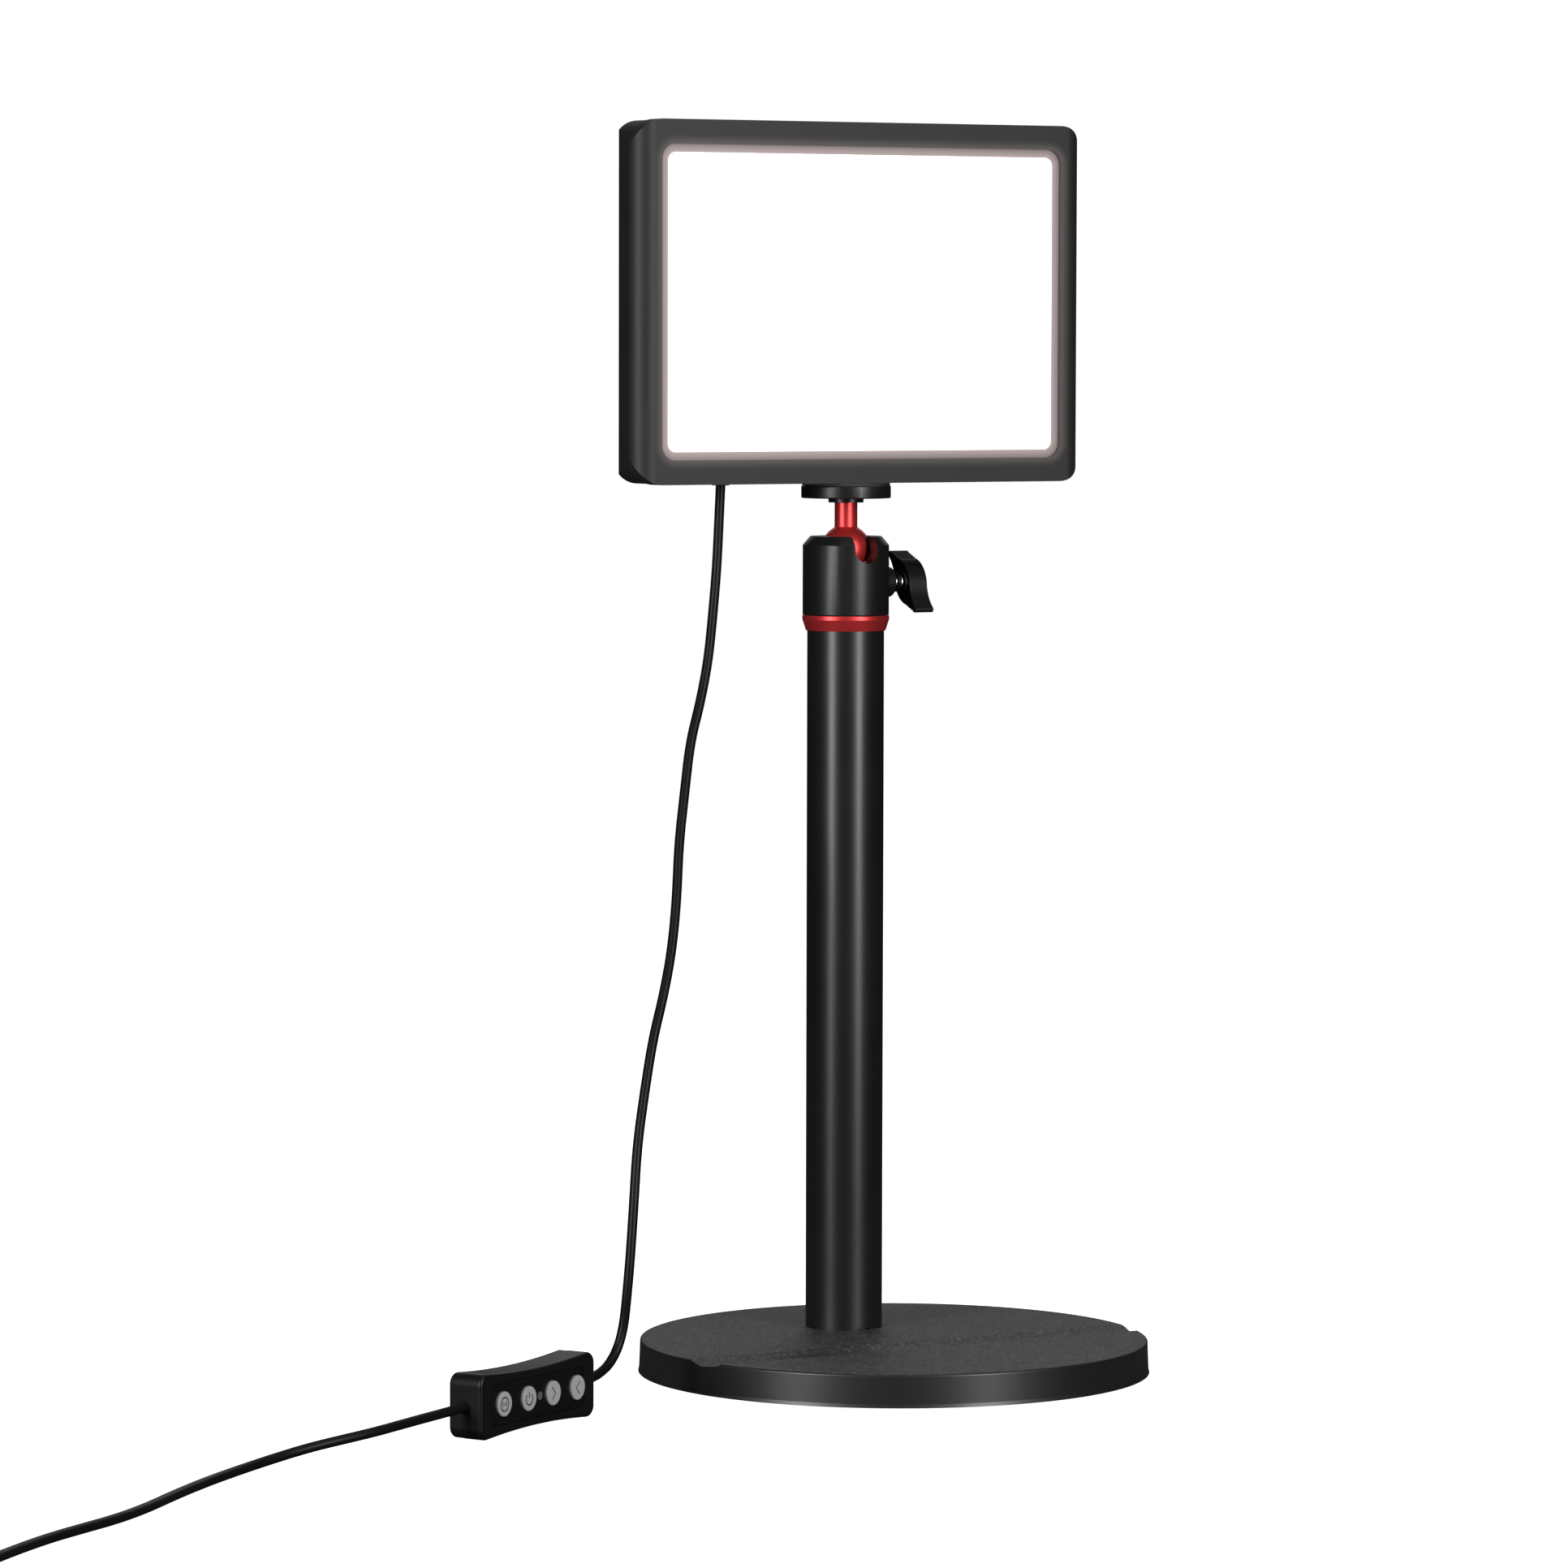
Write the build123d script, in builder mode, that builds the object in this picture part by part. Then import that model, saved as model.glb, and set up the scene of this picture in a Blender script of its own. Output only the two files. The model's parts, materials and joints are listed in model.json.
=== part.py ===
from build123d import *
import os
from math import asin, cos, degrees, pi, radians, sin, sqrt, tan

# LED panel light on a round stand: a weighted base, a pole, a small ball head, the lamp panel, and a
# cord with an in-line controller. Millimetres. The origin is the middle of the base's underside, +Z is
# up and the lamp faces -Y.

# ---- base ----
BASE_RADIUS = 92.4            # at the floor
BASE_TOP_RADIUS = 91.7
BASE_TOP = 12.2
COVER_WALL = 2.2
COVER_CEILING = 9.2           # underside of the cover's top
COVER_SCREW_RING = 62.0
WEIGHT_RADIUS = 88.5
WEIGHT_BOTTOM = 1.6
WEIGHT_TOP = 6.4
GROOVE = [(-11.0, 0.0), (-18.0, -1.8), (-25.0, -1.0), (-27.7, 0.0)]   # (Y, depth): rests a phone's edge

# ---- pole ----
POLE_Y = 35.5
POLE_RADIUS = 14.0
POLE_WALL = 1.6
POLE_TOP = 266.8
BOLT_RADIUS = 4.0
STUD_RADIUS = 3.1             # 1/4 inch thread
STUD_HOLE = 3.15

# ---- ball head ----
COLLAR_TOP = 272.4
HEAD_RADIUS = 15.7
HEAD_TOP = 301.0
BALL_Z = 296.2
BALL_RADIUS = 9.0
BALL_CLEARANCE = 0.06
STEM_RADIUS = 4.15
STEM_TOP = 313.2
NOTCH_HALF_WIDTH = 4.75       # lets the stem drop forward to level
NOTCH_CENTRE_Z = 296.15
CLAMP_Z = 284.05
CLAMP_BOSS_END = 18.5
CLAMP_RADIUS = 2.75
KNOB_START = 23.8
KNOB_END = 31.3
PLATFORM_BOTTOM = 314.8
PLATFORM_TOP = 319.4
PLATFORM_RADIUS = 16.3

# ---- lamp panel ----
PANEL_WIDTH = 187.0
PANEL_HEIGHT = 130.0
PANEL_BOTTOM = 320.4
PANEL_MIDDLE = PANEL_BOTTOM + PANEL_HEIGHT / 2
PANEL_FRONT = 22.4
BEZEL_BACK = 29.5
COVER_BACK = 42.5
COVER_BACK_HALF_WIDTH = 90.6
PANEL_CORNER = 10.0
SIDE_ROLL = 7.0
WINDOW_WIDTH = 167.4
WINDOW_HEIGHT = 112.6
WINDOW_CORNER = 5.5
DIFFUSER_DEPTH = 1.7          # the diffuser's face stands this far inside the opening
DIFFUSER_FACE = 1.8           # thickness of its raised face
DIFFUSER_FIT = 0.15
FLANGE_BACK = 3.5             # the flange lies against the bezel's inner face, up to here
BEZEL_WALL = 2.0
BOARD_SIZE = (165.4, 111.4)
SHELL_INSIDE = (179.0, 125.0)
SHELL_INSIDE_BACK = 39.0
RIB_HEIGHT = 1.5              # the raised field on the back
RIB_FIELD = (178.6, 123.0)
RIB_PITCH = 5.95
RIB_GROOVES = 16
SCREW_X, SCREW_Z = 84.5, 58.0

# ---- cord ----
CORD_RADIUS = 1.75
CORD_EXIT = (-51.0, 38.0)     # where it leaves the panel's underside
GLAND_BOTTOM = 319.8
CORD_SPLIT = 249.5            # the stretch above this turns with the panel
COIL_CENTRE = (-484.1, -214.0)
COIL_RADIUS = 20.2            # middle of the turns
COIL_HALF_WIDTH = 5.6
COIL_BOTTOM, COIL_TOP = 1.1, 15.3

# ---- controller, standing on its long side ----
CTRL_MIDDLE = (-178.6, -49.9)
CTRL_HEADING = 28.0
CTRL_LENGTH = 70.0
CTRL_HEIGHT = 22.6
CTRL_THICKNESS = 13.6
CTRL_WAIST = 1.8
CTRL_TIP = 0.4                # what the corner rounding takes off the height
CTRL_PARTING = -1.8           # along the face's normal, from the middle
BUTTON_RADIUS = 4.3
BUTTON_PITCH = 15.0
FIRST_BUTTON = -21.6
BUTTON_NAMES = ["button_mode", "button_power", "button_down", "button_up"]

os.makedirs("parts", exist_ok=True)


def save(builder, name):
    """Label a finished piece and write it as its own STEP file."""
    builder.part.label = name
    export_step(builder.part, f"parts/{name}.step")


def across(x):
    """A plane square to X at x, with Y to its right and Z up."""
    return Plane(origin=(x, 0, 0), x_dir=(0, 1, 0), z_dir=(1, 0, 0))


def facing(y):
    """A plane square to Y at y, seen from behind: X to its right, Z down, normal along +Y."""
    return Plane(origin=(0, y, 0), x_dir=(1, 0, 0), z_dir=(0, 1, 0))


def panel_spot(x, z):
    """A point of the panel on a facing() plane, whose second axis points down."""
    return (x, -z)


# =====================================================================================  base

with BuildPart() as base_cover:
    with BuildSketch(Plane.XZ):
        with BuildLine():
            Polyline(
                (0, BASE_TOP), (BASE_TOP_RADIUS, BASE_TOP), (BASE_RADIUS - 0.3, 1.8), (BASE_RADIUS, 0.5),
                (BASE_RADIUS - COVER_WALL, 0.5), (BASE_TOP_RADIUS - COVER_WALL, COVER_CEILING),
                (0, COVER_CEILING), (0, BASE_TOP),
            )
        make_face()
    revolve(axis=Axis.Z)
    rim = base_cover.edges().filter_by(GeomType.CIRCLE).group_by(Axis.Z)[-1]
    fillet(rim, 0.8)
    with Locations(Location((0, 0, WEIGHT_TOP))):
        with PolarLocations(COVER_SCREW_RING, 4, start_angle=45):
            Cylinder(4.0, COVER_CEILING - WEIGHT_TOP + 0.2, align=(Align.CENTER, Align.CENTER, Align.MIN))
    with Locations(Location((0, 0, WEIGHT_TOP))):
        with PolarLocations(COVER_SCREW_RING, 4, start_angle=45):
            Cylinder(1.4, 3.6, align=(Align.CENTER, Align.CENTER, Align.MIN), mode=Mode.SUBTRACT)
    with BuildSketch(across(0)):
        with BuildLine():
            groove = [(y, BASE_TOP + depth) for y, depth in GROOVE]
            Polyline(*groove, (groove[-1][0], BASE_TOP + 1), (groove[0][0], BASE_TOP + 1), groove[0])
        make_face()
    extrude(amount=BASE_RADIUS, both=True, mode=Mode.SUBTRACT)
    with Locations(Location((0, POLE_Y, BASE_TOP / 2))):
        Cylinder(BOLT_RADIUS + 0.2, BASE_TOP, mode=Mode.SUBTRACT)
save(base_cover, "base_cover")

with BuildPart() as base_weight:
    with BuildSketch(Plane.XY.offset(WEIGHT_BOTTOM)):
        Circle(WEIGHT_RADIUS)
        with Locations((0, POLE_Y)):
            Circle(BOLT_RADIUS + 0.2, mode=Mode.SUBTRACT)
        with PolarLocations(COVER_SCREW_RING, 4, start_angle=45):
            Circle(1.6, mode=Mode.SUBTRACT)
    extrude(amount=WEIGHT_TOP - WEIGHT_BOTTOM)
    with BuildSketch(Plane.XY.offset(WEIGHT_BOTTOM)):
        with Locations((0, POLE_Y)):
            Circle(8.6)
        with PolarLocations(COVER_SCREW_RING, 4, start_angle=45):
            Circle(3.3)
    extrude(amount=2.0, mode=Mode.SUBTRACT)
    chamfer(base_weight.edges().filter_by(GeomType.CIRCLE).sort_by(SortBy.RADIUS)[-2:], 0.4)
save(base_weight, "base_weight")

with BuildPart() as base_pad:
    with BuildSketch():
        Circle(WEIGHT_RADIUS - 2.5)
        with Locations((0, POLE_Y)):
            Circle(10.0, mode=Mode.SUBTRACT)
    extrude(amount=WEIGHT_BOTTOM)
save(base_pad, "base_pad")

with BuildPart() as base_screws:
    with Locations(Location((0, 0, WEIGHT_BOTTOM + 0.1))):
        with PolarLocations(COVER_SCREW_RING, 4, start_angle=45):
            Cylinder(2.8, 1.9, align=(Align.CENTER, Align.CENTER, Align.MIN))
            Cylinder(1.4, 7.0, align=(Align.CENTER, Align.CENTER, Align.MIN))
save(base_screws, "base_screws")

# =====================================================================================  pole

with BuildPart() as pole_tube:
    with BuildSketch(Plane.XY.offset(BASE_TOP)):
        with Locations((0, POLE_Y)):
            Circle(POLE_RADIUS)
            Circle(POLE_RADIUS - POLE_WALL, mode=Mode.SUBTRACT)
    extrude(amount=POLE_TOP - BASE_TOP)
    with Locations(Location((0, POLE_Y - POLE_RADIUS, BASE_TOP))):
        Box(5.0, 6.0, 1.6, mode=Mode.SUBTRACT)      # pry notch at the foot
save(pole_tube, "pole_tube")

with BuildPart() as pole_foot_plug:
    with BuildSketch(Plane.XY.offset(BASE_TOP)):
        with Locations((0, POLE_Y)):
            Circle(POLE_RADIUS - POLE_WALL)
            Circle(BOLT_RADIUS, mode=Mode.SUBTRACT)
    extrude(amount=20.0)
    chamfer(pole_foot_plug.edges().group_by(Axis.Z)[-1], 0.8)
save(pole_foot_plug, "pole_foot_plug")

with BuildPart() as pole_bolt:
    with Locations(Location((0, POLE_Y, 0.8))):
        Cylinder(6.5, 1.9, align=(Align.CENTER, Align.CENTER, Align.MIN))
        Cylinder(2.5, 1.1, align=(Align.CENTER, Align.CENTER, Align.MIN), mode=Mode.SUBTRACT)
    with Locations(Location((0, POLE_Y, 2.7))):
        Cylinder(BOLT_RADIUS, 25.0, align=(Align.CENTER, Align.CENTER, Align.MIN))
    chamfer(pole_bolt.edges().group_by(Axis.Z)[-1], 0.8)
save(pole_bolt, "pole_bolt")

with BuildPart() as pole_washer:
    with BuildSketch(Plane.XY.offset(2.7)):
        with Locations((0, POLE_Y)):
            Circle(8.3)
            Circle(BOLT_RADIUS + 0.1, mode=Mode.SUBTRACT)
    extrude(amount=0.9)
save(pole_washer, "pole_washer")

with BuildPart() as pole_top_plug:
    with BuildSketch(Plane.XY.offset(POLE_TOP - 16)):
        with Locations((0, POLE_Y)):
            Circle(POLE_RADIUS - POLE_WALL)
            Circle(STUD_HOLE, mode=Mode.SUBTRACT)
    extrude(amount=16.0)
    chamfer(pole_top_plug.edges().group_by(Axis.Z)[0], 0.8)
save(pole_top_plug, "pole_top_plug")

with BuildPart() as head_stud:
    with Locations(Location((0, POLE_Y, POLE_TOP - 13))):
        Cylinder(STUD_RADIUS, 24.0, align=(Align.CENTER, Align.CENTER, Align.MIN))
    chamfer(head_stud.edges().filter_by(GeomType.CIRCLE), 0.5)
save(head_stud, "head_stud")

# =====================================================================================  ball head

POLE_SECTION = Plane(origin=(0, POLE_Y, 0), x_dir=(1, 0, 0), z_dir=(0, -1, 0))
POLE_AXIS = Axis((0, POLE_Y, 0), (0, 0, 1))

with BuildPart() as red_collar:
    with BuildSketch(POLE_SECTION):
        with BuildLine():
            Polyline(
                (STUD_HOLE, POLE_TOP), (14.5, POLE_TOP), (15.8, POLE_TOP + 4.0), (15.8, COLLAR_TOP),
                (STUD_HOLE, COLLAR_TOP), (STUD_HOLE, POLE_TOP),
            )
        make_face()
    revolve(axis=POLE_AXIS)
    fillet(red_collar.edges().filter_by(GeomType.CIRCLE).group_by(SortBy.RADIUS)[-1], 0.3)
save(red_collar, "red_collar")

with BuildPart() as head_housing:
    with BuildSketch(POLE_SECTION):
        with BuildLine():
            Polyline(
                (0, COLLAR_TOP), (HEAD_RADIUS, COLLAR_TOP), (HEAD_RADIUS, HEAD_TOP - 3.2),
                (HEAD_RADIUS - 2.7, HEAD_TOP), (0, HEAD_TOP), (0, COLLAR_TOP),
            )
        make_face()
    revolve(axis=POLE_AXIS)
    fillet(head_housing.edges().filter_by(GeomType.CIRCLE).group_by(Axis.Z)[0], 0.4)
    with Locations(Location((HEAD_RADIUS - 3, POLE_Y, CLAMP_Z), (0, 90, 0))):
        Cylinder(5.5, CLAMP_BOSS_END - HEAD_RADIUS + 3, align=(Align.CENTER, Align.CENTER, Align.MIN))
    fillet(head_housing.edges().filter_by(GeomType.CIRCLE).group_by(Axis.X)[-1], 0.5)
    with Locations(Location((0, POLE_Y, BALL_Z))):
        Sphere(BALL_RADIUS + BALL_CLEARANCE, mode=Mode.SUBTRACT)
    with Locations(Location((0, POLE_Y, 281.0))):
        Cylinder(11.5, 11.4, align=(Align.CENTER, Align.CENTER, Align.MIN), mode=Mode.SUBTRACT)
    with Locations(Location((0, POLE_Y, 298.6))):
        Cone(7.4, 8.6, 3.0, align=(Align.CENTER, Align.CENTER, Align.MIN), mode=Mode.SUBTRACT)
    with Locations(Location((0, POLE_Y, COLLAR_TOP))):
        Cylinder(STUD_HOLE, 9.0, align=(Align.CENTER, Align.CENTER, Align.MIN), mode=Mode.SUBTRACT)
    with Locations(Location((0, POLE_Y, CLAMP_Z), (0, 90, 0))):
        Cylinder(CLAMP_RADIUS + 0.04, 30, align=(Align.CENTER, Align.CENTER, Align.MIN), mode=Mode.SUBTRACT)
    with BuildSketch(POLE_SECTION):
        with Locations((0, NOTCH_CENTRE_Z)):
            Circle(NOTCH_HALF_WIDTH)
            Rectangle(2 * NOTCH_HALF_WIDTH, 12, align=(Align.CENTER, Align.MIN))
    extrude(amount=HEAD_RADIUS + 1, mode=Mode.SUBTRACT)
save(head_housing, "head_housing")

with BuildPart() as ball_cup:
    with Locations(Location((0, POLE_Y, 287.0))):
        Cylinder(11.3, 5.2, align=(Align.CENTER, Align.CENTER, Align.MIN))
        Cylinder(4.5, 6.0, align=(Align.CENTER, Align.CENTER, Align.MIN), mode=Mode.SUBTRACT)
    with Locations(Location((0, POLE_Y, BALL_Z))):
        Sphere(BALL_RADIUS + BALL_CLEARANCE, mode=Mode.SUBTRACT)
    with BuildSketch(POLE_SECTION):
        with Locations((0, NOTCH_CENTRE_Z)):
            Circle(NOTCH_HALF_WIDTH + 0.4)
    extrude(amount=HEAD_RADIUS, mode=Mode.SUBTRACT)
save(ball_cup, "ball_cup")

with BuildPart() as clamp_pad:
    with BuildSketch(Plane(origin=(5.6, POLE_Y, CLAMP_Z), x_dir=(0, 1, 0), z_dir=(1, 0, 0))):
        Circle(CLAMP_RADIUS - 0.3)
    extrude(amount=3.6)
    chamfer(clamp_pad.edges().filter_by(GeomType.CIRCLE).group_by(Axis.X)[0], 1.4)
save(clamp_pad, "clamp_pad")

with BuildPart() as clamp_screw:
    with BuildSketch(Plane(origin=(9.6, POLE_Y, CLAMP_Z), x_dir=(0, 1, 0), z_dir=(1, 0, 0))):
        Circle(CLAMP_RADIUS)
    extrude(amount=20.0)
    chamfer(clamp_screw.edges().filter_by(GeomType.CIRCLE), 0.5)
save(clamp_screw, "clamp_screw")

KNOB_PLANE = Plane(origin=(KNOB_START, POLE_Y, CLAMP_Z), x_dir=(0, 1, 0), z_dir=(1, 0, 0))
FLUTE_STEP = 1.5

with BuildPart() as wing_knob:
    with BuildSketch(KNOB_PLANE):
        with BuildLine():
            for side in (1, -1):
                heel = (-5.3 * side, 0)
                shoulder = (2.0 * side, 8.2 * side)
                tip_front = (8.4 * side, 10.9 * side)
                tip_back = (9.9 * side, 9.4 * side)
                ThreePointArc(heel, (-3.0 * side, 4.9 * side), shoulder)
                Line(shoulder, tip_front)
                ThreePointArc(tip_front, (9.7 * side, 10.7 * side), tip_back)
                ThreePointArc(tip_back, (6.6 * side, 5.2 * side), (5.3 * side, 0))
        make_face()
    extrude(amount=KNOB_END - KNOB_START)
    with BuildSketch(KNOB_PLANE):
        for side in (1, -1):
            for flute in range(4):
                reach = 0.6 + FLUTE_STEP * flute
                with Locations((side * (2.0 + reach), side * (8.32 + 0.42 * reach))):
                    Circle(0.45)
    extrude(amount=KNOB_END - KNOB_START, mode=Mode.SUBTRACT)
    with BuildSketch(KNOB_PLANE):
        Circle(4.2)
    extrude(amount=-1.0)
    with BuildSketch(KNOB_PLANE.offset(-1.0)):
        Circle(CLAMP_RADIUS)
    extrude(amount=9.6 + 20.0 - (KNOB_START - 1.0), mode=Mode.SUBTRACT)
save(wing_knob, "wing_knob")

with BuildPart() as knob_washer:
    with BuildSketch(KNOB_PLANE.offset(20.3 - KNOB_START)):
        Circle(3.7)
        Circle(CLAMP_RADIUS, mode=Mode.SUBTRACT)
    extrude(amount=0.9)
save(knob_washer, "knob_washer")

SPIGOT_RADIUS = 2.6

with BuildPart() as ball_stem:
    with Locations(Location((0, POLE_Y, BALL_Z))):
        Sphere(BALL_RADIUS)
        Cylinder(STEM_RADIUS, STEM_TOP - 0.05 - BALL_Z, align=(Align.CENTER, Align.CENTER, Align.MIN))
        Cylinder(SPIGOT_RADIUS, 317.0 - BALL_Z, align=(Align.CENTER, Align.CENTER, Align.MIN))
    neck = ball_stem.edges().filter_by(GeomType.CIRCLE).filter_by(lambda e: abs(e.radius - STEM_RADIUS) < 0.01)
    fillet(neck.sort_by(Axis.Z)[0], 0.8)
save(ball_stem, "ball_stem")

with BuildPart() as platform_disc:
    with BuildSketch(POLE_SECTION):
        with BuildLine():
            Polyline(
                (SPIGOT_RADIUS + 0.05, STEM_TOP), (6.4, STEM_TOP), (6.4, PLATFORM_BOTTOM),
                (PLATFORM_RADIUS, PLATFORM_BOTTOM), (PLATFORM_RADIUS, PLATFORM_TOP), (0, PLATFORM_TOP),
                (0, 317.1), (SPIGOT_RADIUS + 0.05, 317.1), (SPIGOT_RADIUS + 0.05, STEM_TOP),
            )
        make_face()
    revolve(axis=POLE_AXIS)
    rim = platform_disc.edges().filter_by(GeomType.CIRCLE).group_by(SortBy.RADIUS)[-1]
    fillet(rim, 0.5)
save(platform_disc, "platform_disc")

with BuildPart() as camera_stud:
    with Locations(Location((0, POLE_Y, PLATFORM_TOP))):
        Cylinder(STUD_RADIUS, 6.0, align=(Align.CENTER, Align.CENTER, Align.MIN))
    chamfer(camera_stud.edges().filter_by(GeomType.CIRCLE).group_by(Axis.Z)[-1], 0.6)
save(camera_stud, "camera_stud")

with BuildPart() as platform_pad:
    with BuildSketch(Plane.XY.offset(PLATFORM_TOP)):
        with Locations((0, POLE_Y)):
            Circle(PLATFORM_RADIUS - 0.3)
            Circle(STUD_RADIUS + 0.1, mode=Mode.SUBTRACT)
    extrude(amount=PANEL_BOTTOM - PLATFORM_TOP)
save(platform_pad, "platform_pad")

# =====================================================================================  lamp panel

FRONT_VIEW = facing(PANEL_FRONT)
PANEL_SPOT = panel_spot(0, PANEL_MIDDLE)
HALF_WIDTH = PANEL_WIDTH / 2
SCREW_SPOTS = [panel_spot(x, PANEL_MIDDLE + z) for x in (-SCREW_X, SCREW_X) for z in (-SCREW_Z, SCREW_Z)]

with BuildPart() as front_bezel:
    with BuildSketch(FRONT_VIEW):
        with Locations(PANEL_SPOT):
            RectangleRounded(PANEL_WIDTH, PANEL_HEIGHT, PANEL_CORNER)
    extrude(amount=BEZEL_BACK - PANEL_FRONT)
    with BuildSketch(Plane.XY.offset(PANEL_BOTTOM)):
        with BuildLine():
            roll_in = HALF_WIDTH - SIDE_ROLL
            side_y = PANEL_FRONT + SIDE_ROLL
            CenterArc((roll_in, side_y), SIDE_ROLL, 270, 90)
            CenterArc((-roll_in, side_y), SIDE_ROLL, 180, 90)
            Line((-roll_in, PANEL_FRONT), (roll_in, PANEL_FRONT))
            Line((HALF_WIDTH, side_y), (HALF_WIDTH, BEZEL_BACK))
            Line((-HALF_WIDTH, side_y), (-HALF_WIDTH, BEZEL_BACK))
            Line((-HALF_WIDTH, BEZEL_BACK), (HALF_WIDTH, BEZEL_BACK))
        make_face()
    extrude(amount=PANEL_HEIGHT, mode=Mode.INTERSECT)
    with BuildSketch(FRONT_VIEW.offset(BEZEL_WALL)):
        with Locations(PANEL_SPOT):
            RectangleRounded(*SHELL_INSIDE, PANEL_CORNER - 3)
    extrude(amount=BEZEL_BACK - PANEL_FRONT, mode=Mode.SUBTRACT)
    with BuildSketch(FRONT_VIEW):
        with Locations(PANEL_SPOT):
            RectangleRounded(WINDOW_WIDTH, WINDOW_HEIGHT, WINDOW_CORNER)
    extrude(amount=BEZEL_WALL + 1, mode=Mode.SUBTRACT)
    with BuildSketch(FRONT_VIEW.offset(BEZEL_WALL - 0.3)):
        with Locations(*SCREW_SPOTS):
            Circle(3.0)
    extrude(amount=BEZEL_BACK - PANEL_FRONT - BEZEL_WALL + 0.3)
    with BuildSketch(facing(BEZEL_BACK)):
        with Locations(*SCREW_SPOTS):
            Circle(1.3)
    extrude(amount=-4.5, mode=Mode.SUBTRACT)
save(front_bezel, "front_bezel")

FLANGE = (WINDOW_WIDTH + 2.0, WINDOW_HEIGHT + 2.0)

with BuildPart() as diffuser:
    with BuildSketch(FRONT_VIEW.offset(DIFFUSER_DEPTH)):
        with Locations(PANEL_SPOT):
            RectangleRounded(
                WINDOW_WIDTH - 2 * DIFFUSER_FIT, WINDOW_HEIGHT - 2 * DIFFUSER_FIT, WINDOW_CORNER - DIFFUSER_FIT
            )
    extrude(amount=DIFFUSER_FACE)
    with BuildSketch(FRONT_VIEW.offset(BEZEL_WALL)):
        with Locations(PANEL_SPOT):
            RectangleRounded(*FLANGE, WINDOW_CORNER + 2.5)
    extrude(amount=FLANGE_BACK - BEZEL_WALL)
save(diffuser, "diffuser")

REFLECTOR_FRONT = PANEL_FRONT + FLANGE_BACK

with BuildPart() as reflector_frame:
    with BuildSketch(facing(REFLECTOR_FRONT)):
        with Locations(PANEL_SPOT):
            RectangleRounded(*BOARD_SIZE, 6.0)
    extrude(amount=30.8 - REFLECTOR_FRONT)
    with BuildSketch(facing(REFLECTOR_FRONT)):
        with Locations(PANEL_SPOT):
            RectangleRounded(BOARD_SIZE[0] - 2.4, BOARD_SIZE[1] - 2.4, 5.0)
    with BuildSketch(facing(30.8)):
        with Locations(PANEL_SPOT):
            RectangleRounded(BOARD_SIZE[0] - 9.0, BOARD_SIZE[1] - 9.0, 3.0)
    loft(mode=Mode.SUBTRACT)
save(reflector_frame, "reflector_frame")

BOARD_FRONT = 31.0

with BuildPart() as led_board:
    with BuildSketch(facing(BOARD_FRONT)):
        with Locations(PANEL_SPOT):
            RectangleRounded(*BOARD_SIZE, 6.0)
    extrude(amount=1.6)
save(led_board, "led_board")

with BuildPart() as led_emitters:
    with BuildSketch(facing(BOARD_FRONT)):
        with Locations(PANEL_SPOT):
            with GridLocations(19.0, 19.0, 8, 5):
                Rectangle(3.5, 2.8)
    extrude(amount=-0.8)
save(led_emitters, "led_emitters")

with BuildPart() as heat_spreader:
    with BuildSketch(facing(BOARD_FRONT + 1.6)):
        with Locations(PANEL_SPOT):
            RectangleRounded(BOARD_SIZE[0] - 3.0, BOARD_SIZE[1] - 5.0, 6.0)
    extrude(amount=1.2)
save(heat_spreader, "heat_spreader")

DRIVER_SPOT = panel_spot(-20.0, 372.0)
DRIVER_SIZE = (74.0, 34.0)

with BuildPart() as driver_board:
    with BuildSketch(facing(35.4)):
        with Locations(DRIVER_SPOT):
            Rectangle(*DRIVER_SIZE)
            with GridLocations(DRIVER_SIZE[0] - 7, DRIVER_SIZE[1] - 7, 2, 2):
                Circle(1.2, mode=Mode.SUBTRACT)
    extrude(amount=1.4)
save(driver_board, "driver_board")

CHIP_SIZES = [(-22.0, 2.0, 9.0, 9.0), (-8.0, 6.0, 5.0, 6.5), (2.0, -5.0, 8.0, 6.0), (15.0, 4.0, 11.0, 7.0),
              (27.0, -3.0, 5.0, 9.0), (-18.0, -10.0, 6.0, 4.0)]

with BuildPart() as driver_chips:
    with BuildSketch(facing(36.8)):
        for x, z, width, height in CHIP_SIZES:
            with Locations((DRIVER_SPOT[0] + x, DRIVER_SPOT[1] + z)):
                Rectangle(width, height)
    extrude(amount=1.7)
save(driver_chips, "driver_chips")

BUSH_RADIUS = 4.6
SCREW_SEAT = COVER_BACK + RIB_HEIGHT - 2.2

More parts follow.
